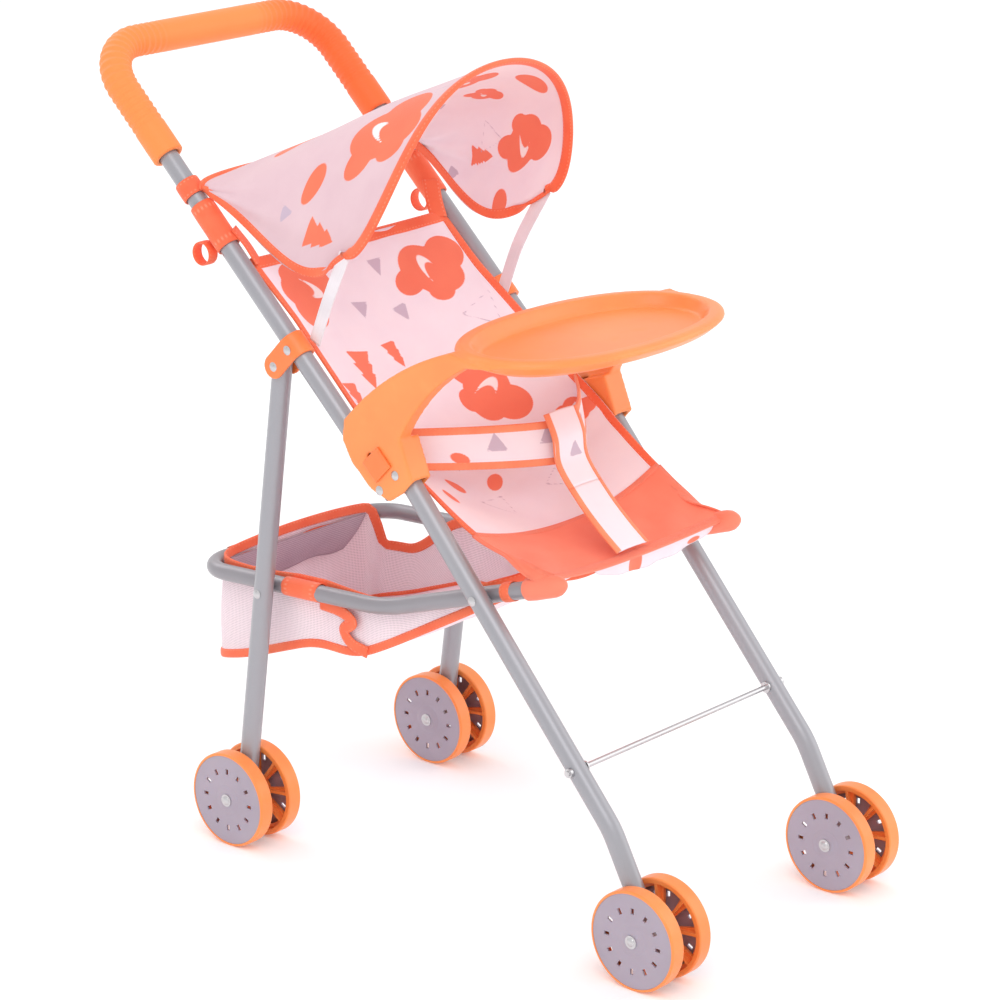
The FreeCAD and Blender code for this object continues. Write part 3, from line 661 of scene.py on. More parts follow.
# a leaf and its fold, in sizes of the leaf: each disc's place, its two radii and its own turn
leaf = {"lobes": [(0, 0, 0.52, 0.36, 0.35), (0.28, -0.26, 0.3, 0.3, 0), (-0.36, 0.2, 0.26, 0.2, -0.6),
                  (0.1, 0.34, 0.2, 0.16, 0)],
        "fold": (0.05, 0.06, 0.34, 0.13, 0.9), "foldCut": (0.16, 0.16, 0.34, 0.15, 0.9)}


# a broad leaf: the nearest of its lobes' distances, less a pale crescent that is a disc cut by a disc
def leafMotif(p, x, y, size, turn):
    c = cos(turn)
    s = sin(turn)

    def disc(u, v, rx, ry, more):
        place = (x + size * (c * u - s * v), y + size * (s * u + c * v))
        return discAt(p, *place, rx * size, ry * size, turn + more)
    fold = np.maximum(disc(*leaf["fold"]), -disc(*leaf["foldCut"]))
    return np.maximum(np.min([disc(*lobe) for lobe in leaf["lobes"]], axis=0), -fold), fold


# three triangles of one tree, each smaller than the one under it
def treeMotif(p, x, y, size, turn):
    c = cos(turn)
    s = sin(turn)
    parts = [triangleAt(p, x - s * size * up, y + c * size * up, size * part, turn - pi / 2)
             for up, part in ((-0.35, 0.62), (0.05, 0.52), (0.42, 0.4))]
    return np.min(parts, axis=0)


# writes the nearest orange, grey and pale distance at each point of the cloth to its print attribute
def paintPrint(piece, flat, motifs):
    far = np.full(flat.shape[:2], 1.0)
    orange, grey, pale = far, far, far
    for kind, x, y, size, turn in motifs:
        args = (flat, x * mm, y * mm, size * mm, radians(turn))
        if kind == "leaf":
            body, fold = leafMotif(*args)
            orange = np.minimum(orange, body)
            pale = np.minimum(pale, fold)
        elif kind == "tree":
            orange = np.minimum(orange, treeMotif(*args))
        elif kind == "pebble":
            orange = np.minimum(orange, discAt(*args[:4], size * 0.55 * mm, args[4]))
        elif kind == "triangle":
            grey = np.minimum(grey, triangleAt(*args))
        else:  # an outline, 0.9 mm wide
            grey = np.minimum(grey, abs(triangleAt(*args)) - 0.45 * mm)
    layer = piece.data.attributes.new("print", "FLOAT_VECTOR", "POINT")
    layer.data.foreach_set("vector", np.stack([orange, grey, pale], -1).astype(np.float32).ravel())


# cloth on a grid of points, with its flat map, its print if it has one, and its thickness
def clothPiece(name, points, finish, thickness, motifs=None):
    flat = flatMap(points)
    piece = meshFrom(name, points, finishes[finish], flat)
    if motifs is not None:
        paintPrint(piece, flat, motifs)
    return thicken(piece, thickness)


# the seat's edge and middle lines in side view: first up the handle tubes, then out over the front legs
seat = {"halfWidth": 94.0, "topHalfWidth": 98.6, "thickness": 1.0, "panelThickness": 1.3, "hang": 2.3,
        "seam": 0.785, "rows": 150, "panelRows": 44, "cols": 110,
        "edgeUp": [(191, 1), (150, 1), (100, 1), (62, 1), (32, 2)],
        "edgeOut": [(1.8, 318), (-26, 300), (-73, 273), (-110, 263), (-146, 258.5)],
        "farUp": [(191, 1), (150, 6), (100, 14), (62, 19), (32, 23)],
        "farOut": [(-27, 319), (-50, 301), (-80, 280), (-112, 262), (-146, 255)],
        "middleUp": [(191, 0), (150, -10), (100, -15), (62, -15), (34, -14)],
        "middleOut": [(-5, 290), (-36, 272), (-78, 259), (-108, 252), (-137, 247)],
        "farFlare": 1.5, "wrapFlare": 5.0, "wrapDrop": 8.0, "wrapEdge": 0.045, "wrapStretch": (0.86, 0.98),
        "creaseDepth": 0.9, "pullDepth": 0.6,
        "foldStart": (0, 0.025, 0.335), "foldEnd": (0, -0.035, 0.285),
        "railStart": (0, -0.105, 0.262), "railEnd": (0, -0.140, 0.257),
        "print": [("leaf", 58, 40, 52, 20), ("leaf", -62, 30, 50, 160), ("triangle", 14, 24, 9, -90),
                  ("triangle", -20, 52, 9, -80), ("triangle", 16, 62, 9, -100), ("tree", -52, 98, 22, 8),
                  ("tree", -14, 92, 15, -6), ("leaf", 38, 142, 50, 100), ("outline", 76, 86, 17, 15),
                  ("triangle", 70, 124, 8, -90), ("leaf", -70, 160, 36, 60), ("pebble", -55, 216, 8, 40),
                  ("pebble", -14, 214, 10, -30), ("tree", 66, 214, 16, 10), ("outline", 34, 232, 12, 0),
                  ("triangle", -34, 190, 8, -90), ("triangle", 8, 180, 7, -70), ("leaf", 84, 190, 24, 60),
                  ("outline", -30, 236, 14, 20), ("pebble", -74, 232, 7, 80), ("tree", -84, 120, 18, 0)]}


# one of the seat's lines as points: its part along the handle, then its part in side view
def seatLine(kind):
    return [alongHandle(d, o) for d, o in seat[kind + "Up"]] + [sideView(y, z) for y, z in seat[kind + "Out"]]


# between the middle line and the edge line, each point goes |u|^hang of the way out to the edge; in front the
# sides flare and drop round the rail. Creases, as bells times sine waves, are added square to the cloth.
def seatSurface(s, u, creased=True):
    s, u = np.broadcast_arrays(s, u)
    edge = np.where((u > 0)[..., None], through(seatLine("far"), s), through(seatLine("edge"), s))
    middle = through(seatLine("middle"), s)
    share = (np.abs(u) ** seat["hang"])[..., None]
    front = ramp(s, *seat["wrapStretch"])
    half = between(seat["halfWidth"], seat["topHalfWidth"], np.clip(1.2 - 9 * s, 0, 1))
    half = half + np.where(u > 0, seat["farFlare"], 0) + seat["wrapFlare"] * front
    drop = seat["wrapDrop"] * front * np.clip((np.abs(u) - 1) / seat["wrapEdge"] + 1, 0, 1)
    points = between(middle, edge, share) + (u * half * mm)[..., None] * across
    points = points - (drop * mm)[..., None] * np.array([0, 0, 1])
    if not creased:
        return points
    fold = bell(s, 0.58, 0.09) * np.sin(70 * s + 1.5 * np.sin(2.4 * u))
    pull = bell(s, 0.08, 0.1) * np.sin(14 * np.abs(u) - 26 * s)
    slack = np.sin(4.2 * u + 5 * s) * np.sin(11 * s - 2 * u)
    ripple = bell(s, 0.93, 0.06) * np.sin(13 * u + 30 * s)
    depth = seat["creaseDepth"] * (fold + slack + ripple) + seat["pullDepth"] * pull
    return points + normalsOf(points) * (depth * (1 - u ** 6) * mm)[..., None]


# the sling runs from the top hem to the seam, and the front panel on from there over the rail's ends
def makeSeat():
    points = seatSurface(*gridOf(seat["rows"], seat["cols"], 0.0, seat["seam"]))
    sling = clothPiece("seatSling", points, "print_cloth", seat["thickness"], seat["print"])
    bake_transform(sling)
    finished(sling, None, "seat_back", "seat_fold", slot="print_cloth")

    points = seatSurface(*gridOf(seat["panelRows"], seat["cols"], seat["seam"], 1.0))
    panel = clothPiece("seatFrontPanel", points, "coral_cloth", seat["panelThickness"])
    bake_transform(panel)
    finished(panel, None, "seat_base", slot="coral_cloth")


# a pale flap that hangs under the right part of the seat's front edge, from one place across it to another
valance = {"from": -0.36, "to": 0.93, "edge": 0.995, "deep": 15.0, "back": 5.0, "wave": 1.2, "thickness": 1.0,
           "print": [("pebble", -22, 8, 12, 70), ("pebble", 40, 12, 6, 10)]}


# v runs down the flap: its depth is a flattened half sine wave across, and a small wave sways it
def makeValance():
    v, u = gridOf(10, 60)
    place = between(valance["from"], valance["to"], (u + 1) / 2)
    top = seatSurface(valance["edge"], place, creased=False)
    deep = valance["deep"] * np.sin(pi * (u + 1.02) / 2.04) ** 0.35
    back = valance["back"] + valance["wave"] * np.sin(14 * u)
    points = top + v[..., None] * np.stack([0 * deep, back, -deep], -1) * mm
    flap = clothPiece("seatFrontFlap", points, "print_cloth", valance["thickness"], valance["print"])
    finished(flap, "basket_frame", slot="print_cloth")


# the seat's tapes: where each lies across or down the seat, and its width, thickness and lift off the cloth
seatTapes = {"back": {"at": 0.975, "width": 6.2, "thickness": 2.2, "lift": 0.0},
             "front": {"at": 0.968, "width": 10.5, "thickness": 2.2, "lift": 0.6},
             "top": {"at": 0.006, "width": 9.5, "thickness": 2.8},
             "lip": {"at": 0.995, "width": 8.0, "thickness": 2.6, "facing": (0, -0.25, 1)},
             "join": {"width": 4.5, "thickness": 1.6, "lift": 0.6, "facing": (0, -0.4, 1)}}


# a tape laid down one side of the seat, facing off the cloth
def seatTape(name, kind, side, s, finish):
    made = seatTapes[kind]
    grid = seatSurface(s[:, None], side * made["at"] + np.array([-0.02, 0, 0.02]), creased=False)
    facing = normalsOf(grid)[:, 1]
    line = grid[:, 1] + facing * made["lift"] * mm
    return tape(name, line, facing, made["width"], made["thickness"], finish)


# two hems down each side, one above the seam and one below it, and three tapes that lie straight across
def makeSeatTapes():
    for name, side in sides:
        s = np.linspace(0.0, seat["seam"], 120)
        back = seatTape("seatHemBack_" + name, "back", side, s, "binding")
        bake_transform(back)
        finished(back, None, slot="binding")
        s = np.linspace(seat["seam"], 1.0, 40)
        front = seatTape("seatHemFront_" + name, "front", side, s, "coral_cloth")
        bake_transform(front)
        finished(front, None, slot="coral_cloth")
    u = np.linspace(-0.99, 0.99, 60)
    top, lip, join = seatTapes["top"], seatTapes["lip"], seatTapes["join"]
    line = seatSurface(top["at"], u, creased=False)
    finished(tape("seatTopHem", line, offTube, top["width"], top["thickness"]),
             "handle_frame", slot="binding")
    line = seatSurface(lip["at"], u, creased=False)
    finished(tape("seatFrontHem", line, lip["facing"], lip["width"], lip["thickness"], "coral_cloth"),
             "basket_frame", slot="coral_cloth")
    line = seatSurface(seat["seam"], u, creased=False) + np.array([0, 0, join["lift"]]) * mm
    finished(tape("seatSeam", line, join["facing"], join["width"], join["thickness"], "coral_cloth"),
             "front_frame", slot="coral_cloth")


makeSeat()
makeValance()
makeSeatTapes()
print("seat made")

# the waist strap: its ends lie along the seat's hems, and its middle stands forward of them
waist = {"halfWidth": 92.5, "endLow": (-14, 306), "endHigh": (-8, 331), "middleLow": (-80, 304),
         "middleHigh": (-75, 331), "thickness": 1.4, "tent": 1.4, "puff": 1.2, "rows": 16, "cols": 96,
         "trims": {"Top": 0.04, "Low": 0.96}, "trimSize": (5.5, 2.4),
         "print": [("triangle", -52, 12, 9, 90), ("triangle", -14, 9, 9, 90), ("triangle", 44, 13, 9, 90),
                   ("pebble", -78, 21, 7, 20), ("pebble", 20, 20, 6, -20)]}


# v runs down from the top edge; the strap stands 1 - |u|^tent of the way from its end line to its middle line
def waistSurface(v, u):
    v, u = np.broadcast_arrays(v, u)
    bow = (1 - np.abs(u) ** waist["tent"])[..., None]
    end = between(sideView(*waist["endHigh"]), sideView(*waist["endLow"]), v[..., None])
    middle = between(sideView(*waist["middleHigh"]), sideView(*waist["middleLow"]), v[..., None])
    puff = (np.sin(pi * v) * waist["puff"] * mm)[..., None] * np.array([0, -1, 0])
    return between(end, middle + puff, bow) + (u * waist["halfWidth"] * mm)[..., None] * across


# u is the sine of an even run of angles, so that the points gather at the strap's ends
def makeWaistStrap():
    v = np.linspace(0, 1, waist["rows"])[:, None]
    u = np.sin(np.linspace(-pi / 2, pi / 2, waist["cols"]))[None, :]
    strap = clothPiece("waistStrap", waistSurface(v, u), "print_cloth", waist["thickness"], waist["print"])
    finished(strap, "handle_frame", "waist_strap", slot="print_cloth")
    u = np.sin(np.linspace(-pi / 2, pi / 2, 90)) * 0.995
    for name, at in waist["trims"].items():
        line = evenly(waistSurface(at, u), 90)
        out = normalsOf(waistSurface(at + np.array([[-0.02], [0], [0.02]]), u[None, :] * 0.999))[1]
        trim = tape("waistTrim" + name, line, out, *waist["trimSize"], "strap_binding")
        finished(trim, "handle_frame", slot="binding")


# the crotch strap: from behind the waist strap down to the seat's front edge, in two halves
crotch = {"path": [(-72, 338), (-80, 322), (-84, 303), (-103, 281), (-121, 265), (-137, 253)],
          "halfWidth": 16.5, "thickness": 1.4, "seam": 0.52, "crown": 1.5, "facing": (0, -0.6, 0.8),
          "trimAt": 0.9, "trimLean": 0.25, "trimSize": (4.6, 2.2), "rows": 40, "cols": 14,
          "upperStart": (0, -0.078, 0.330), "upperEnd": (0, -0.094, 0.292),
          "print": [("triangle", 3, 30, 8, 90)]}


# a curve in side view carried straight across, with its middle raised by 1 - u squared times the crown
def crotchSurface(s, u):
    s, u = np.broadcast_arrays(s, u)
    line = through([sideView(y, z) for y, z in crotch["path"]], s)
    rise = (1 - u * u) * crotch["crown"] * mm
    out = u * crotch["halfWidth"] * mm
    return line + rise[..., None] * np.array(crotch["facing"]) + out[..., None] * across


# each half with a trim along both of its edges; only the upper one is printed
def makeCrotchStrap():
    halves = (("Upper", 0.0, crotch["seam"], "handle_frame", "front_frame",
               crotch["upperStart"], crotch["upperEnd"]),
              ("Lower", crotch["seam"], 1.0, "front_frame", "basket_frame",
               seat["railStart"], seat["railEnd"]))
    for name, start, stop, a, b, first, last in halves:
        upper = name == "Upper"
        points = crotchSurface(*gridOf(crotch["rows"], crotch["cols"], start, stop))
        strap = clothPiece("crotchStrap" + name, points, "print_cloth", crotch["thickness"],
                           crotch["print"] if upper else [])
        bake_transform(strap)
        finished(strap, None, *(["crotch_strap"] if upper else []), slot="print_cloth")
        s = np.linspace(start, stop, 50)
        for label, side in sides:
            facing = crotch["facing"] + across * side * crotch["trimLean"]
            trim = tape("crotchTrim" + name + "_" + label, crotchSurface(s, side * crotch["trimAt"]), facing,
                        *crotch["trimSize"], "strap_binding")
            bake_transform(trim)
            finished(trim, None, slot="binding")


makeWaistStrap()
makeCrotchStrap()
print("straps made")

# the hood: straight along its rear edge, arched over its bow
hood = {"rearAt": 252, "rearOff": 8, "halfWidth": 106.0, "height": 110.0, "squareness": 2.06,
        "rearSquareness": 3.4, "corner": (30.0, 461.5), "lean": 49.5, "rearCrown": 7.0, "twist": 5.5,
        "tilt": 5.0, "sag": 35.0, "tuck": 8.0, "thickness": 0.9, "fanDepth": 1.9, "hollow": 3.0,
        "ripple": 0.8, "rows": 90, "cols": 170, "bowHem": (8.0, 4.2), "hem": (7.0, 2.4), "hemTurn": 0.006,
        "rearEnd": (0, 0.158, 0.48), "bowEnd": (0, 0.038, 0.48),
        "print": [("leaf", -80, 168, 58, 60), ("pebble", -113, 116, 15, 15), ("tree", -154, 136, 24, 20),
                  ("outline", -47, 200, 18, 0), ("triangle", -132, 96, 8, -90), ("leaf", -40, 70, 34, 40),
                  ("pebble", -70, 60, 13, 15), ("leaf", 20, 150, 40, 100), ("pebble", 10, 44, 14, 10),
                  ("leaf", 68, 128, 26, 80), ("leaf", 130, 150, 50, 120), ("pebble", 72, 180, 18, 200),
                  ("outline", 118, 108, 16, 12), ("triangle", 143, 66, 9, -90), ("tree", 132, 96, 18, -10),
                  ("pebble", 176, 134, 14, 30), ("triangle", 60, 84, 9, -90), ("leaf", 66, 48, 30, 200)]}


# turn runs from one low corner over the top to the other: x = -cos^(2/n) and rise = sin^(2/n) times its
# reach. Each point runs straight from the rear edge to the bow; the side hems sag by
# sin(pi along^1.3)^1.2 + along^3 / 5 and tuck inwards.
def hoodSurface(along, turn):
    along, turn = np.broadcast_arrays(along, turn)
    power = 2 / between(hood["rearSquareness"], hood["squareness"], along)
    x = -signedPower(np.cos(turn), power)
    rise = np.abs(np.sin(turn)) ** power
    rear = alongHandle(hood["rearAt"], hood["rearOff"])
    bowY = hood["corner"][0] - hood["lean"] * np.sqrt(rise) + hood["twist"] * x * np.sin(pi * rise)
    bowZ = hood["corner"][1] + hood["height"] * rise + hood["tilt"] * x * (1 - rise)
    y = between(rear[1], bowY * mm, along)
    z = between(rear[2] + hood["rearCrown"] * rise * mm, bowZ * mm, along)
    hang = (np.abs(np.sin(pi * along ** 1.3)) ** 1.2 + 0.2 * along ** 3) * (1 - rise) ** 1.8
    return np.stack([x * (hood["halfWidth"] - hood["tuck"] * hang) * mm, y, z - hood["sag"] * hang * mm], -1)


# soft creases that fan out from the rear corners, and a hollow between the bow and the rear edge
def hoodCreased(along, turn):
    points = hoodSurface(along, turn)
    along, turn = np.broadcast_arrays(along, turn)
    near = np.minimum(turn, pi - turn)
    fan = np.arctan2(near, along + 0.02)
    middle = np.sin(pi * along) * np.sin(turn) ** 0.5
    depth = np.sin(11 * fan + 0.6) * hood["fanDepth"] * np.sin(pi * along) ** 0.7 * np.exp(-near * 0.9)
    depth = depth - hood["hollow"] * middle + hood["ripple"] * np.sin(9 * along + 4 * turn) * middle
    return points + normalsOf(points) * (depth * mm)[..., None]


# the cover with its four hems: round the bow, along the rear and down both sides
def makeHood():
    along = np.linspace(0.0, 1.0, hood["rows"])[:, None]
    turn = np.linspace(0.0, pi, hood["cols"])[None, :]
    cover = clothPiece("hoodCover", hoodCreased(along, turn), "hood_cloth", hood["thickness"], hood["print"])
    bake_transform(cover)
    finished(cover, None, "canopy_cover", slot="print_cloth")

    turn = np.linspace(0.0, pi, 140)
    out = normalsOf(hoodSurface(np.array([[0.9], [0.95], [1.0]]), turn[None, :]))[2]
    bow = tape("hoodBowHem", evenly(hoodSurface(1.0, turn), 140), out, *hood["bowHem"], fullness=2.2)
    finished(bow, "canopy", "canopy_bow", slot="binding")
    rear = tape("hoodRearHem", evenly(hoodSurface(0.01, turn), 140), offTube, *hood["hem"])
    finished(rear, "handle_frame", slot="binding")
    for name, at in (("left", hood["hemTurn"]), ("right", pi - hood["hemTurn"])):
        line = hoodCreased(np.linspace(0, 1, 60)[:, None], at + np.array([[-0.004, 0, 0.004]]))
        hem = tape("hoodSideHem_" + name, line[:, 1], normalsOf(line)[:, 1], *hood["hem"])
        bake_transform(hem)
        finished(hem, None, slot="binding")


# the satin ties from the hood's low corners to the handle tubes
ribbons = {"width": 10.0, "thickness": 1.0, "low": (115, 8.6, 98.0), "bend": (-2.0, 3.0, -1.0)}


# a curve through the corner, a bent middle and the tube's side
def makeRibbons():
    distance, offset, out = ribbons["low"]
    for name, side in sides:
        top = hoodSurface(1.0, 0.0 if side < 0 else pi)
        low = alongHandle(distance, offset, side * out)
        bend = (top + low) / 2 + np.array(ribbons["bend"]) * [side, 1, 1] * mm
        path = through([top, bend, low], np.linspace(0, 1, 40))
        ribbon = tape("hoodRibbon_" + name, path, across * side, ribbons["width"], ribbons["thickness"],
                      "ribbon", fullness=6.0)
        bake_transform(ribbon)
        finished(ribbon, None, *once(side, "canopy_ties"), slot="ribbon")


makeHood()
makeRibbons()
print("hood made")

# cloth round the handle tubes: the seat's top wraps, the hood's corner tabs, pull loops and the seat's straps
wraps = {"inner": 7.3, "outer": 8.7, "seatAt": 225, "seatLength": 37, "seatWave": 0.25,
         "hoodAt": 257, "hoodLength": 13, "hoodWave": 0.2,
         "loop": (216, -17.6, 112.0), "loopWidth": 8.5, "loopOuter": 8.6,
         "strap": [(188, 1.5, 93), (202, 5, 96), (216, 8.4, 101.5)], "strapWidth": 13, "strapThickness": 1.6,
         "strapLean": 0.4}


# bands round each tube, a loop behind it, and a strap whose curve climbs from the seat onto the tube
def makeWraps():
    for name, side in sides:
        tube = side * lines["trackHalf"]
        wrap = ringBand("seatWrap_" + name, alongHandle(wraps["seatAt"], 0, tube), upTube,
                        wraps["seatLength"], wraps["inner"], wraps["outer"], wraps["seatWave"])
        finished(wrap, "handle_frame", *once(side, "seat_wraps"), slot="binding")
        distance, offset, out = wraps["loop"]
        loop = ringBand("pullLoop_" + name, alongHandle(distance, offset, side * out), across,
                        wraps["loopWidth"], wraps["inner"], wraps["loopOuter"])
        finished(loop, "handle_frame", *once(side, "pull_loops"), slot="binding")
        tab = ringBand("hoodTab_" + name, alongHandle(wraps["hoodAt"], 0, tube), upTube,
                       wraps["hoodLength"], wraps["inner"], wraps["outer"], wraps["hoodWave"])
        finished(tab, "handle_frame", slot="binding")
        path = through([alongHandle(d, o, side * x) for d, o, x in wraps["strap"]], np.linspace(0, 1, 24))
        strap = tape("seatStrap_" + name, path, offTube + across * -side * wraps["strapLean"],
                     wraps["strapWidth"], wraps["strapThickness"])
        finished(strap, "handle_frame", slot="binding")


makeWraps()

# the grip: a foam sleeve over the top of the handle, ribbed on its sides and bends
grip = {"start": 286.6, "top": 384.3, "bend": 38.0, "radius": 11.5, "bore": 7.9, "collar": 24.0,
        "collarFade": 4.0, "pitch": 5.4, "depth": 0.75, "plain": 44.0, "plainFade": 14.0, "stations": 900,
        "lipAt": [9.0, 0.4, 0.0, 0.15, 0.8, 1.6]}


# the sleeve's centre line by length: up the left tube, a quarter circle, across, a quarter circle and down
def gripLine(length):
    straight = grip["top"] - grip["bend"] - grip["start"]
    arc = grip["bend"] * pi / 2
    whole = 2 * (straight + arc + lines["trackHalf"] - grip["bend"])
    way = np.where(length > whole / 2, -1, 1)
    run = np.minimum(length, whole - length)
    turned = np.clip((run - straight) / arc, 0, 1) * pi / 2
    up = np.minimum(run, straight) + grip["bend"] * np.sin(turned)
    over = grip["bend"] * (1 - np.cos(turned)) + np.maximum(run - straight - arc, 0)
    points = alongHandle(grip["start"] + up, 0, way * (over - lines["trackHalf"]))
    heading = (way * np.cos(turned))[..., None] * upTube + np.sin(turned)[..., None] * across
    return points, heading, whole


# the radius is cut by a rounded wave at each rib, and both ends turn in to a lip that returns to the bore
def makeGrip():
    whole = gripLine(np.zeros(1))[2]
    length = np.linspace(0, whole, grip["stations"])
    fromEnd = np.minimum(length, whole - length)
    fromMiddle = np.abs(length - whole / 2)
    ribbed = np.clip((fromEnd - grip["collar"]) / grip["collarFade"], 0, 1)
    ribbed = ribbed * np.clip((fromMiddle - grip["plain"]) / grip["plainFade"], 0, 1)
    wave = (0.5 + 0.5 * np.cos(2 * pi * fromEnd / grip["pitch"])) ** 0.8
    radius = grip["radius"] - grip["depth"] * ribbed * wave
    lip = np.array(grip["lipAt"])
    lipRadius = np.array([grip["bore"], grip["bore"], grip["bore"] + 0.5, grip["radius"] - 0.9,
                          grip["radius"] - 0.2, grip["radius"]])
    middle = (length > 2) & (length < whole - 2)
    points, heading, whole = gripLine(np.concatenate([lip, length[middle], whole - lip[::-1]]))
    radius = np.concatenate([lipRadius, radius[middle], lipRadius[::-1]]) * mm
    sleeve = pipe("handleGrip", points, heading, offTube, radius, "grip_orange")
    finished(sleeve, "handle_frame", "handle_grip", slot="grip_orange")


makeGrip()
print("handle made")

# the basket: a mesh wall hung inside the rail, a pale floor, and orange tape round both edges
basket = {"middleY": 44.3, "halfLength": 138.2, "halfWidth": 86.2, "squareness": 12.0, "lift": 4.5,
          "floorMiddleY": 48.0, "floorHalfLength": 141.0, "floorHalfWidth": 85.0,
          "rail": [(-160, 255.5), (-91.4, 233.3), (8, 201.1), (196, 191.3)],
          "floor": [(-100, 234), (-60, 211), (12, 171), (41, 157), (83, 157), (150, 132), (192, 121)],
          "wallRows": 22, "around": 220, "wallDepth": 0.07, "floorRows": 26, "sag": 4.0, "floorRipple": 0.8,
          "thickness": 0.8, "rimTape": (7.5, 2.4), "floorTape": (6.5, 2.6), "floorTapeOut": 0.4}


# a height read along one of the basket's side-view lines, rounded over a stretch of 28 mm
def heightAt(line, y):
    known = np.array(line, float)
    return np.mean([np.interp(y + d, known[:, 0], known[:, 1]) for d in np.linspace(-14, 14, 9)], axis=0)


# a closed loop |x/a|^n + |y/b|^n = 1 seen from above
def loopAt(angle, halfWidth, halfLength, middleY):
    power = 2 / basket["squareness"]
    x = signedPower(np.cos(angle), power) * halfWidth
    y = signedPower(np.sin(angle), power) * halfLength + middleY
    return np.stack([x, y], 1)


# the slack of the rim between its straps: ramps and half waves along it, and their depths, in millimetres
dips = {"side": (70, 84), "rear": (96, 84), "rearLeft": 2, "front": (-88, 158), "frontLeft": 6,
        "frontRight": 14, "far": 29, "farStart": (92, 150), "farEnd": (171, 182), "arch": 5, "archHalf": 86,
        "archStart": (172, 180)}


# two half waves on the left, one and a long dip on the right, and a slight arch over the rear
def rimDip(x, y):
    side = ramp(np.abs(x), *dips["side"])
    front = halfWave(y, *dips["front"])
    left = dips["rearLeft"] * halfWave(y, *dips["rear"]) + dips["frontLeft"] * front
    far = dips["far"] * (1 - ramp(y, *dips["farEnd"])) * ramp(y, *dips["farStart"])
    arch = dips["arch"] * (1 - (x / dips["archHalf"]) ** 2) * ramp(y, *dips["archStart"])
    return side * np.where(x > 0, far + dips["frontRight"] * front, left) - arch


# the rim and the foot of the wall, each evenly spaced along its loop, and the outward way at each point
def basketLoops():
    dense = 2 * pi * np.arange(4000) / 4000
    top = loopAt(dense, basket["halfWidth"], basket["halfLength"], basket["middleY"])
    low = loopAt(dense, basket["floorHalfWidth"], basket["floorHalfLength"], basket["floorMiddleY"])
    top = evenly(top, basket["around"], closed=True)
    low = evenly(low, basket["around"], closed=True)
    height = heightAt(basket["rail"], top[:, 1]) + basket["lift"] - rimDip(top[:, 0], top[:, 1])
    rim = np.column_stack([top, height]) * mm
    foot = np.column_stack([low, heightAt(basket["floor"], low[:, 1])]) * mm
    tangent = unit(np.roll(top, -1, 0) - np.roll(top, 1, 0))
    return rim, foot, np.column_stack([tangent[:, 1], -tangent[:, 0], 0 * tangent[:, 0]])


# the wall runs straight from rim to foot and bellies out by half a sine wave; the floor is the foot's loop
# shrunk towards its middle, which sags by 1 - r squared
def makeBasket():
    rim, foot, out = basketLoops()
    turn = 2 * pi * np.arange(len(rim)) / len(rim)
    t = np.linspace(0, 1, basket["wallRows"])[:, None]
    belly = np.sin(pi * t) * (1.6 + 1.2 * np.sin(9 * turn + 2) + 0.7 * np.sin(23 * turn))
    depth = np.linalg.norm(rim - foot, axis=1) / basket["wallDepth"]
    wall = between(rim, foot, t[..., None]) + out * (belly * depth * mm)[..., None]
    flat = np.zeros((len(t), len(turn) + 1, 2))
    flat[..., 0] = lengthAlong(np.vstack([rim, rim[:1]]))
    flat[:, :-1, 1] = np.linalg.norm(wall - rim, axis=2)
    flat[:, -1, 1] = flat[:, 0, 1]
    side = meshFrom("basketWall", wall, finishes["basket_mesh"], flat, (False, True))
    thicken(side, basket["thickness"])
    finished(side, "basket_frame", "basket", slot="basket_mesh")

    r = np.linspace(1, 0.02, basket["floorRows"])[:, None]
    middle = np.array([0, basket["floorMiddleY"]]) * mm
    place = middle + (foot[:, :2] - middle) * r[..., None]
    ripple = np.sin(90 * place[..., 0] + 2) * np.sin(70 * place[..., 1]) * (1 - r ** 4)
    z = heightAt(basket["floor"], place[..., 1] / mm) - basket["sag"] * (1 - r ** 2)
    z = z + basket["floorRipple"] * ripple
    points = np.concatenate([place, z[..., None] * mm], -1)
    flat = np.concatenate([place, place[:, :1]], 1)
    floor = meshFrom("basketFloor", points, finishes["basket_floor"], flat, (False, True), caps="last")
    thicken(floor, basket["thickness"])
    finished(floor, "basket_frame", slot="basket_mesh")
    edge = foot + out * basket["floorTapeOut"] * mm
    for name, line in (("rim", rim), ("floor", edge)):
        band = tape("basket" + name.title() + "Tape", line, out, *basket[name + "Tape"], closed=True)
        finished(band, "basket_frame", slot="binding")


# a darker mesh pocket inside the rear wall
rearPocket = {"low": 172, "high": 194, "y": 181.3, "halfWidth": 74, "slant": 26, "belly": 2.2, "wave": 1.2,
              "thickness": 0.8}


# a flat strip, narrower towards its lower right, with a wavy lower edge and a belly of half a sine wave
def makeRearPocket():
    v, u = gridOf(12, 50)
    x = u * (rearPocket["halfWidth"] - rearPocket["slant"] * v * (u > 0))
    y = rearPocket["y"] - rearPocket["belly"] * np.sin(pi * v)
    z = between(rearPocket["high"], rearPocket["low"], v) + rearPocket["wave"] * np.sin(6 * u) * v
    points = np.stack(np.broadcast_arrays(x, y, z), -1) * mm
    mesh = clothPiece("rearMeshPocket", points, "pocket_mesh", rearPocket["thickness"])
    finished(mesh, "basket_frame", slot="basket_mesh")


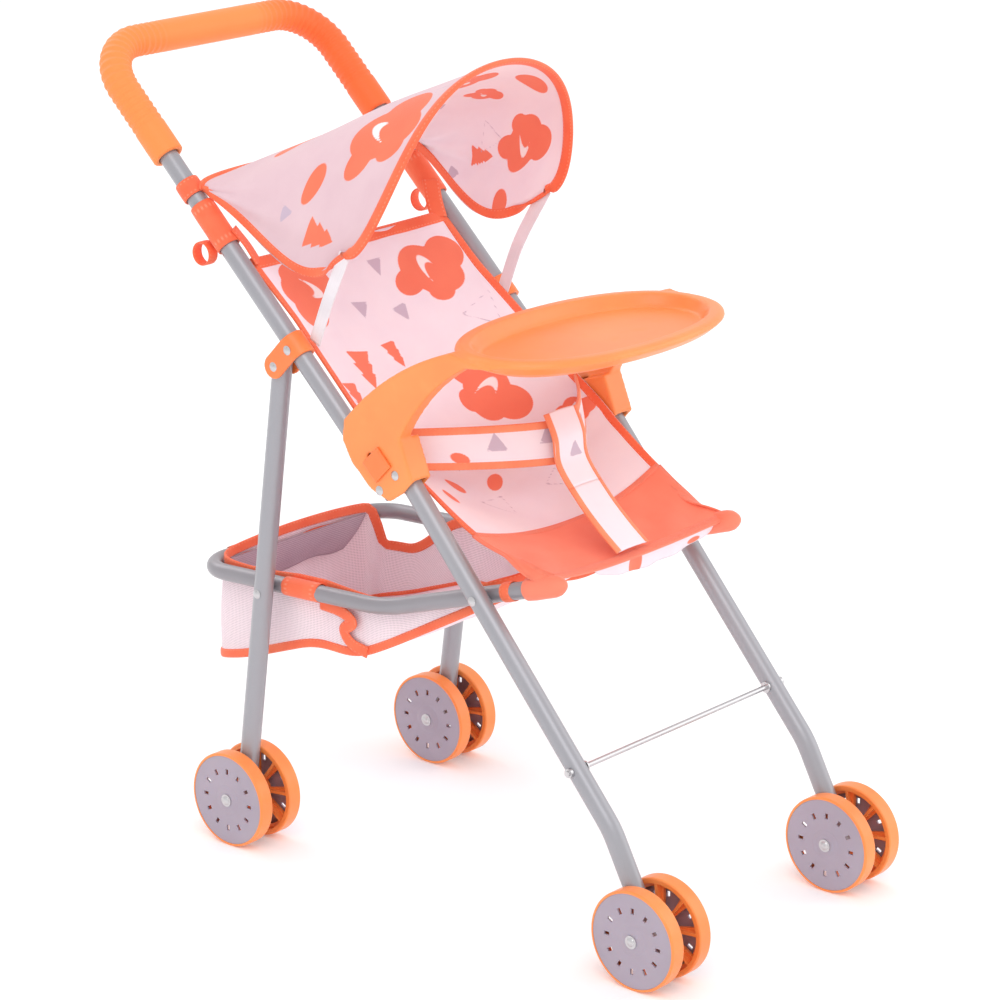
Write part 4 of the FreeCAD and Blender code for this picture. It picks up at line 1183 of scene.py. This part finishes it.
# cloth bands round the rail, and straps down the basket's sides by their side-view points and their x
basketTrim = {"bands": (("Middle", 85.0, 34.0), ("Front", -107.5, 9.0)), "inner": 6.2, "outer": 6.95,
              "inwards": 0.8, "cross": (190.0, 191.6), "crossLength": 122.0,
              "hook": [(72, 189, 90), (52, 188, 91), (41, 182, 90.5), (50, 174, 89.5), (44, 165, 88.5),
                       (30, 161, 87)], "hookWidth": 9.0, "strapThickness": 1.5,
              "strap": [(24, 205, 85.0), (21, 188, 82.5), (8, 180, 81.5), (-20, 186, 81.5), (-52, 205, 82.5),
                        (-82, 233, 84.5)], "strapWidth": 5.5}


# each band follows the rail's slope at its place; each strap is a smooth curve through its points
def makeBasketTrim():
    thickness = basketTrim["strapThickness"]
    for name, side in sides:
        for label, where, length in basketTrim["bands"]:
            low, high = heightAt(basket["rail"], np.array([where - 5, where + 5]))
            middle = sideView(where, (low + high) / 2, side * (lines["railHalf"] - basketTrim["inwards"]))
            band = ringBand("railLoop" + label + "_" + name, middle, [0, 10, high - low], length,
                            basketTrim["inner"], basketTrim["outer"])
            nodes = once(side, "basket_straps") if label == "Front" else []
            finished(band, "basket_frame", *nodes, slot="binding")
        hook = through([sideView(y, z, side * x) for y, z, x in basketTrim["hook"]], np.linspace(0, 1, 60))
        finished(tape("hookStrap_" + name, hook, across * side, basketTrim["hookWidth"], thickness),
                 "basket_frame", slot="binding")
    strap = through([sideView(*point) for point in basketTrim["strap"]], np.linspace(0, 1, 70))
    finished(tape("innerStrap", strap, across, basketTrim["strapWidth"], thickness),
             "basket_frame", slot="binding")
    cross = ringBand("railSleeve", sideView(*basketTrim["cross"]), across, basketTrim["crossLength"],
                     basketTrim["inner"], basketTrim["outer"])
    finished(cross, "basket_frame", slot="binding")


# the seat's corner pockets, pulled over the rail's front ends: radii at distances past the tube's end
pocket = {"end": (-150.4, 252.4), "heading": (0, -0.9513, 0.3082),
          "at": [-9.0, -27.6, -28.0, -27.2, -20, -12, -4, 0.0, 2.4, 4.6, 6.2, 6.8],
          "radius": [6.5, 6.5, 7.1, 7.7, 7.9, 7.7, 7.6, 6.9, 5.6, 4.0, 2.2, 0.8]}


# a round profile carried straight along the rail's end: turned in behind, and rounded off in front
def makePockets():
    heading = unit(np.array(pocket["heading"]))
    for name, side in sides:
        end = sideView(*pocket["end"], side * lines["railHalf"])
        path = end + heading * np.array(pocket["at"])[:, None] * mm
        cap = pipe("cornerPocket_" + name, path, np.broadcast_to(heading, path.shape), np.array([0, 0, 1.0]),
                   np.array(pocket["radius"]) * mm, "coral_cloth")
        finished(cap, "basket_frame", *once(side, "corner_pockets"), slot="coral_cloth")


makeBasket()
makeRearPocket()
makeBasketTrim()
makePockets()
print("basket made")


# a moulded piece with its edges rounded: the CAD shape is merged, remade on a grid of voxels and relaxed
def softened(node, voxel, rounds, body, slot):
    mesh = frame["nodes"][node].data.copy()
    work = bmesh.new()
    work.from_mesh(mesh)
    bmesh.ops.remove_doubles(work, verts=work.verts, dist=0.01 * mm)
    work.to_mesh(mesh)
    work.free()
    made = bpy.data.objects.new(node + "_moulded", mesh)
    bpy.context.collection.objects.link(made)
    grid = made.modifiers.new("grid", "REMESH")
    grid.mode = "VOXEL"
    grid.voxel_size = voxel * mm
    relax = made.modifiers.new("relax", "SMOOTH")
    relax.factor = 0.5
    relax.iterations = rounds
    final = bpy.data.meshes.new_from_object(made.evaluated_get(bpy.context.evaluated_depsgraph_get()))
    made.modifiers.clear()
    made.data = final
    final.materials.clear()
    final.materials.append(finishes[slot])
    final.polygons.foreach_set("use_smooth", np.ones(len(final.polygons), bool))
    finished(made, body, node, slot=slot)


softened("tray", 1.3, 6, "front_frame", "tray_orange")
for name, side in sides:
    softened("upper_bracket_" + name, 0.5, 4, "handle_frame", "bracket_orange")
    softened("fold_catch_" + name, 0.4, 3, "catch_" + name, "bracket_orange")
print("moulded pieces made")

bpy.context.view_layer.update()
